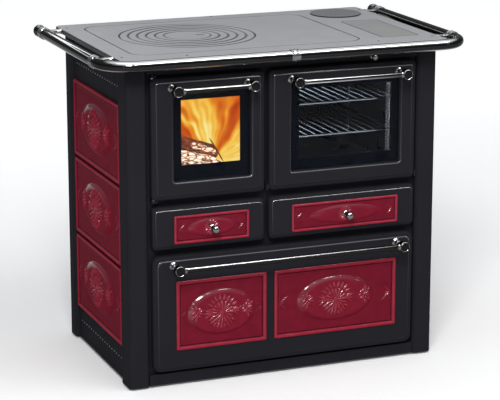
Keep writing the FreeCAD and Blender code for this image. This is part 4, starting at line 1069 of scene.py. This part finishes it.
EYELET = [(0.9, -0.4), (0.9, 0.4), (1.2, 0.7), (1.5, 0.4), (1.6, -0.4)]
EYELET_SIDES = 10
VENT_LEVELS = (772 * MM, 58 * MM)
VENT_PITCH = 20 * MM
VENT_MARGIN = 4 * MM


def vent_rows():
    """A row of small vent eyelets above and below the tiles of both side panels."""
    low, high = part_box("side_tiles")
    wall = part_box("side_panels")[1].x - SIDE_SEAT
    for side, way in (("left", -1), ("right", 1)):
        places = []
        for level in VENT_LEVELS:
            for y in np.arange(low.y + VENT_MARGIN, high.y - VENT_MARGIN, VENT_PITCH):
                places.append((way * wall, y, level))
        collar = turned(EYELET, (0, 0, 0), (way, 0, 0), EYELET_SIDES, True)
        fit_on_points(side + "_vents", places, collar, LOOKS["sheet_steel"], "carcass", "sheet_steel")


# Fire and oven inside

# Both ends in millimetres, radius, seed and, on thin ones, the number of rings and sides
LOGS = [((-308, -178, 634), (-164, -190, 580), 23, 11), ((-300, -130, 520), (-124, -150, 518), 27, 12),
        ((-300, -192, 518), (-130, -196, 517), 25, 13), ((-262, -120, 566), (-240, -214, 556), 24, 14),
        ((-180, -140, 556), (-170, -212, 548), 20, 15)]
EMBERS = [((-306, -206, 596), (-166, -210, 562), 21, 21), ((-300, -212, 560), (-148, -212, 545), 18, 22),
          ((-240, -200, 622), (-172, -204, 588), 9, 24, 12, 12)]
TWIG = [((-196, -216, 634), (-156, -218, 572), 1.8, 23, 8, 8)]
LOG_BEND = 3 * MM
LOG_WOBBLE = 0.09
LOG_RIBS = 0.06
LOG_SHOULDER = 0.7
LOG_TAPER = 0.85
BARK_GLOW = 0.35
EMBER_GLOW = 0.55
BARK = [(0.0, (0.32, 0.06, 0.012)), (0.06, (0.07, 0.016, 0.006)), (0.3, (0.05, 0.016, 0.010)),
        (0.7, (0.10, 0.045, 0.03))]
EMBER = [(0.0, (0.02, 0.008, 0.004)), (0.05, (0.12, 0.04, 0.018)), (0.12, (0.66, 0.38, 0.24)),
         (0.4, (0.92, 0.74, 0.58))]
FLAME_COLUMNS = 90
FLAME_ROWS = 100
FLAME_LEFT, FLAME_WIDTH = -312, 204
FLAME_FOOT, FLAME_HEIGHT = 493, 300
FLAME_HALF_THICKNESS = 1.2
# The root of the flames, and how far it slides to the side and down for each millimetre of depth
ROOT_X, ROOT_Y, ROOT_Z = -199, -245, 586
SLIDE_X, SLIDE_Z = 0.396, 0.274
BRAID_ROWS = 43
BRAID_COLUMNS = 3
BRAID_PITCH = 4.2
BRAID_LEFT = 285
BRAID_BOTTOM = 571.5
BRAID_BACK = 4 * MM
BEAD_SIDES = 8
BRAID_BEAD = [(0.6, -1.8), (1.5, -1.2), (1.9, 0.0), (1.5, 1.2), (0.6, 1.8)]


def log(start, end, radius, seed, rings=14, sides=18):
    """An uneven log from one end to the other."""
    chance = np.random.default_rng(seed)
    start = Vector(start) * MM
    end = Vector(end) * MM
    axis = (end - start).normalized()
    side = axis.orthogonal().normalized()
    other = axis.cross(side)
    wobble = chance.normal(0, 1, (rings, sides))
    for _ in range(2):
        wobble = (wobble + np.roll(wobble, 1, 1) + np.roll(wobble, -1, 1)) / 3
    ribs = chance.normal(0, LOG_RIBS, sides)
    skin = []
    for n in range(rings):
        t = n / (rings - 1)
        heart = start.lerp(end, t) + side * math.sin(3 * t + seed) * LOG_BEND
        past = max(0, abs(2 * t - 1) - LOG_SHOULDER) / (1 - LOG_SHOULDER)
        thick = radius * MM * (1 - LOG_TAPER * past ** 2)
        ring = []
        for k in range(sides):
            a = 2 * math.pi * k / sides
            reach = thick * (1 + LOG_WOBBLE * wobble[n, k] + ribs[k])
            ring.append(heart + (side * math.cos(a) + other * math.sin(a)) * reach)
        skin.append(ring)
    return loft(skin)


def flame_heat(x, y, z):
    """The heat, from 0 to 1, of places in the flames: a bright plume, thin licks and a glow to the right."""
    across = x - SLIDE_X * (y - ROOT_Y) - ROOT_X
    above = z + SLIDE_Z * (y - ROOT_Y) - ROOT_Z
    reach = np.hypot(across, above)
    lean = np.degrees(np.arctan2(across, np.maximum(above, 1)))
    lean += 1.6 * np.sin(0.05 * reach + 0.03 * across) + 0.8 * np.sin(0.11 * reach - 0.06 * across + 2)
    far = np.clip(reach / 160, 0, 1)
    plume = np.exp(-((lean + 6 + 8 * far) / 24) ** 2) * (1.2 - 0.55 * far)
    licks = np.exp(-((lean + 33 + 5 * np.sin(0.05 * reach)) / 3.2) ** 2)
    licks += np.exp(-((lean - 20) / 2.6) ** 2) * far
    glow = 0.62 / (1 + np.exp(-(lean - 40) / 2.6))
    veins = np.sin(0.55 * lean + 0.02 * reach) * np.sin(0.21 * lean - 0.035 * reach + 1)
    heat = 0.14 + 0.82 * plume + 0.3 * licks + glow + 0.2 * far * veins + 0.06 * np.sin(0.8 * lean)
    return np.clip(heat, 0, 1)


def flame_curtain():
    """A thin wavering sheet of flame across the fire, closed all round and marked with its heat."""
    s, t = np.meshgrid(np.linspace(0, 1, FLAME_COLUMNS), np.linspace(0, 1, FLAME_ROWS))
    ragged = 1 - 0.10 * np.abs(np.sin(11 * s + 1)) - 0.06 * np.abs(np.sin(29 * s))
    x = FLAME_LEFT + FLAME_WIDTH * s
    z = FLAME_FOOT + FLAME_HEIGHT * t * ragged
    wave = (0.3 + t) * (np.sin(9 * s + 4 * t + 0.7) + 0.5 * np.sin(21 * s - 6 * t + 2.1))
    y = -92 - 112 * s ** 1.3 + 5 * wave * np.sin(math.pi * np.clip(s, 0.02, 0.98)) ** 0.5
    front = np.stack([x, y - FLAME_HALF_THICKNESS, z], -1).reshape(-1, 3) * MM
    back = np.stack([x, y + FLAME_HALF_THICKNESS, z], -1).reshape(-1, 3) * MM
    quads, rim = sheet(FLAME_ROWS, FLAME_COLUMNS)
    walls = np.stack([rim, np.roll(rim, -1), np.roll(rim, -1) + x.size, rim + x.size], -1)
    faces = quads.tolist() + (quads[:, ::-1] + x.size).tolist() + walls.tolist()
    mesh = mesh_of("flame_curtain", (np.concatenate([front, back]), faces))
    return mark(mesh, "burning", np.tile(flame_heat(x, y, z).ravel(), 2))


def fire():
    """Burning logs piled on the grate with a curtain of flame behind them."""
    ember = charred_wood("ember_finish", EMBER, EMBER_GLOW)
    bark = charred_wood("bark_finish", BARK, BARK_GLOW)
    fit("flame_curtain", flame_curtain(), flame(), "carcass", "firebrick")
    for name, pile, wood in (("burning_logs", LOGS, bark), ("ember_logs", EMBERS, ember),
                             ("burning_twig", TWIG, bark)):
        fit(name, joined(*[log(*one) for one in pile]), wood, "carcass", "firebrick")


def oven_braid():
    """The braided strip that shows behind the right of the oven's pane."""
    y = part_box("oven_door_glass")[1].y + BRAID_BACK
    places = []
    for row in range(BRAID_ROWS):
        for column in range(BRAID_COLUMNS):
            if (row + column) % 2 == 0:
                x = BRAID_LEFT + BRAID_PITCH * column
                places.append((x * MM, y, (BRAID_BOTTOM + BRAID_PITCH * row) * MM))
    bead = turned(BRAID_BEAD, (0, 0, 0), UP, BEAD_SIDES)
    fit_on_points("oven_braid", places, bead, DULL_BRAID, "oven_door", "rope_seal")


# Assembly

glazed_door("fire_door", FIRE_CLEAR)
glazed_door("oven_door", OVEN_CLEAR)
drawer_front("ash_drawer", FRONT_CORNER, SMALL_FRONT)
drawer_front("tool_drawer", FRONT_CORNER, SMALL_FRONT)
drawer_front("wood_drawer", WOOD_CORNER, 1.0)
for holder in ("fire_door", "oven_door", "wood_drawer"):
    bar_handle(holder)
for drawer in DRAWER_BOSSES:
    turned_pull(drawer + "_turned_knob", KNOB, drawer, drawer + "_knob")
turned_pull("damper_ball", PULL, "flue_damper", "damper_knob")
towel_rail()
for drawer, drawer_boss in DRAWER_BOSSES.items():
    drawer_tile(drawer, drawer_boss)
for tile, (tile_span, tile_boss) in WOOD_TILES.items():
    front_tile(tile, "wood_drawer", "wood_drawer_tiles", tile_span, tile_boss, garland)
side_tile_set()
hob()
vent_rows()
fire()
oven_braid()


# Studio

FLOOR_REACH = 40
CAMERA_PLACE = (-1.9517, -4.9282, 1.7583)
CAMERA_YAW = math.radians(21.62)
CAMERA_PITCH = math.radians(14.33)
CAMERA_LENS = 147.1
CAMERA_SENSOR = 36


def studio_world():
    """A soft light from above that falls off towards the horizon, and shows white in the chrome."""
    world = bpy.data.worlds.new("studio")
    bpy.context.scene.world = world
    world.use_nodes = True
    tree = world.node_tree
    way = tree.nodes.new("ShaderNodeTexCoord").outputs["Generated"]
    height = add(tree, "ShaderNodeSeparateXYZ", Vector=way).outputs["Z"]
    fall = add(tree, "ShaderNodeMapRange", Value=height, From_Min=0.1, From_Max=0.8, To_Min=0.12, To_Max=0.48)
    mirrored = tree.nodes.new("ShaderNodeLightPath").outputs["Is Glossy Ray"]
    white = add(tree, "ShaderNodeMapRange", Value=mirrored, To_Min=1.0, To_Max=2.08)
    strength = maths(tree, "MULTIPLY", fall.outputs["Result"], white.outputs["Result"])
    feed(tree, tree.nodes["Background"], Strength=strength, Color=(0.95, 0.97, 1.0, 1))


def studio_floor():
    """A wide pale floor that turns white away from the cooker and keeps its soft shadow."""
    finish = Finish("floor_finish", tones=((0.91, 0.91, 0.91), (0.94, 0.94, 0.94), 0.7, 40.0),
                    gloss=(0.85, 0.95, 2.0), Specular_IOR_Level=0.05, Emission_Color=(1, 1, 1, 1))
    away = finish.add("ShaderNodeVectorMath", Vector=finish.place())
    away.operation = "LENGTH"
    fade = finish.add("ShaderNodeMapRange", Value=away.outputs["Value"],
                      From_Min=0.7, From_Max=4.0, To_Min=0.06, To_Max=0.6)
    path = finish.add("ShaderNodeLightPath")
    seen = path.outputs["Is Camera Ray"]
    for ray in ("Is Glossy Ray", "Is Transmission Ray"):
        seen = maths(finish.tree, "MAXIMUM", seen, path.outputs[ray])
    finish.feed(Emission_Strength=maths(finish.tree, "MULTIPLY", seen, fade.outputs["Result"]))
    mesh = bpy.data.meshes.new("floor")
    corners = [(x * FLOOR_REACH, y * FLOOR_REACH, 0) for x, y in ((-1, -1), (1, -1), (1, 1), (-1, 1))]
    mesh.from_pydata(corners, [], [(0, 1, 2, 3)])
    mesh.materials.append(finish.material)
    floor = placed("floor", mesh)


def lamp(name, place, target, size, power, tint=(1, 1, 1)):
    """A soft rectangular lamp that points at a target."""
    data = bpy.data.lights.new(name, "AREA")
    data.shape = "RECTANGLE"
    data.size, data.size_y = size
    data.energy = power
    data.color = tint
    light = placed(name, data)
    light.location = place
    light.rotation_euler = (Vector(target) - Vector(place)).to_track_quat("-Z", "Y").to_euler()


def photo_camera():
    """The camera at the photograph's place."""
    data = bpy.data.cameras.new("photo_camera")
    data.sensor_width = CAMERA_SENSOR
    data.lens = CAMERA_LENS
    level = math.cos(CAMERA_PITCH)
    gaze = Vector((math.sin(CAMERA_YAW) * level, math.cos(CAMERA_YAW) * level, -math.sin(CAMERA_PITCH)))
    camera = placed("photo_camera", data)
    camera.location = CAMERA_PLACE
    camera.rotation_euler = gaze.to_track_quat("-Z", "Y").to_euler()
    bpy.context.scene.camera = camera


bpy.context.scene.view_settings.view_transform = "Standard"
studio_world()
studio_floor()
lamp("overhead", (-0.2, -0.8, 2.8), (0, -0.2, 0.5), (2.6, 0.6), 6)
lamp("overhead_strip", (0.8, -1.3, 2.6), (0.2, -0.2, 0.5), (2.8, 0.14), 23)
lamp("left_high", (-1.5, -3.2, 3.2), (0, 0, 0.4), (1.0, 1.0), 110)
lamp("left_front", (-3.0, -4.2, 2.4), (0, 0, 0.45), (0.3, 0.3), 10)
lamp("right_front", (3.6, -3.4, 2.0), (0, 0, 0.45), (0.4, 0.6), 8)
lamp("rear_strip", (-0.4, 3.2, 1.95), (0, 0, 0.85), (2.0, 0.12), 12)
lamp("oven_light", (0.06, 0.17, 0.755), (0.14, -0.12, 0.60), (0.16, 0.03), 0.17, (0.75, 0.88, 1.0))
photo_camera()
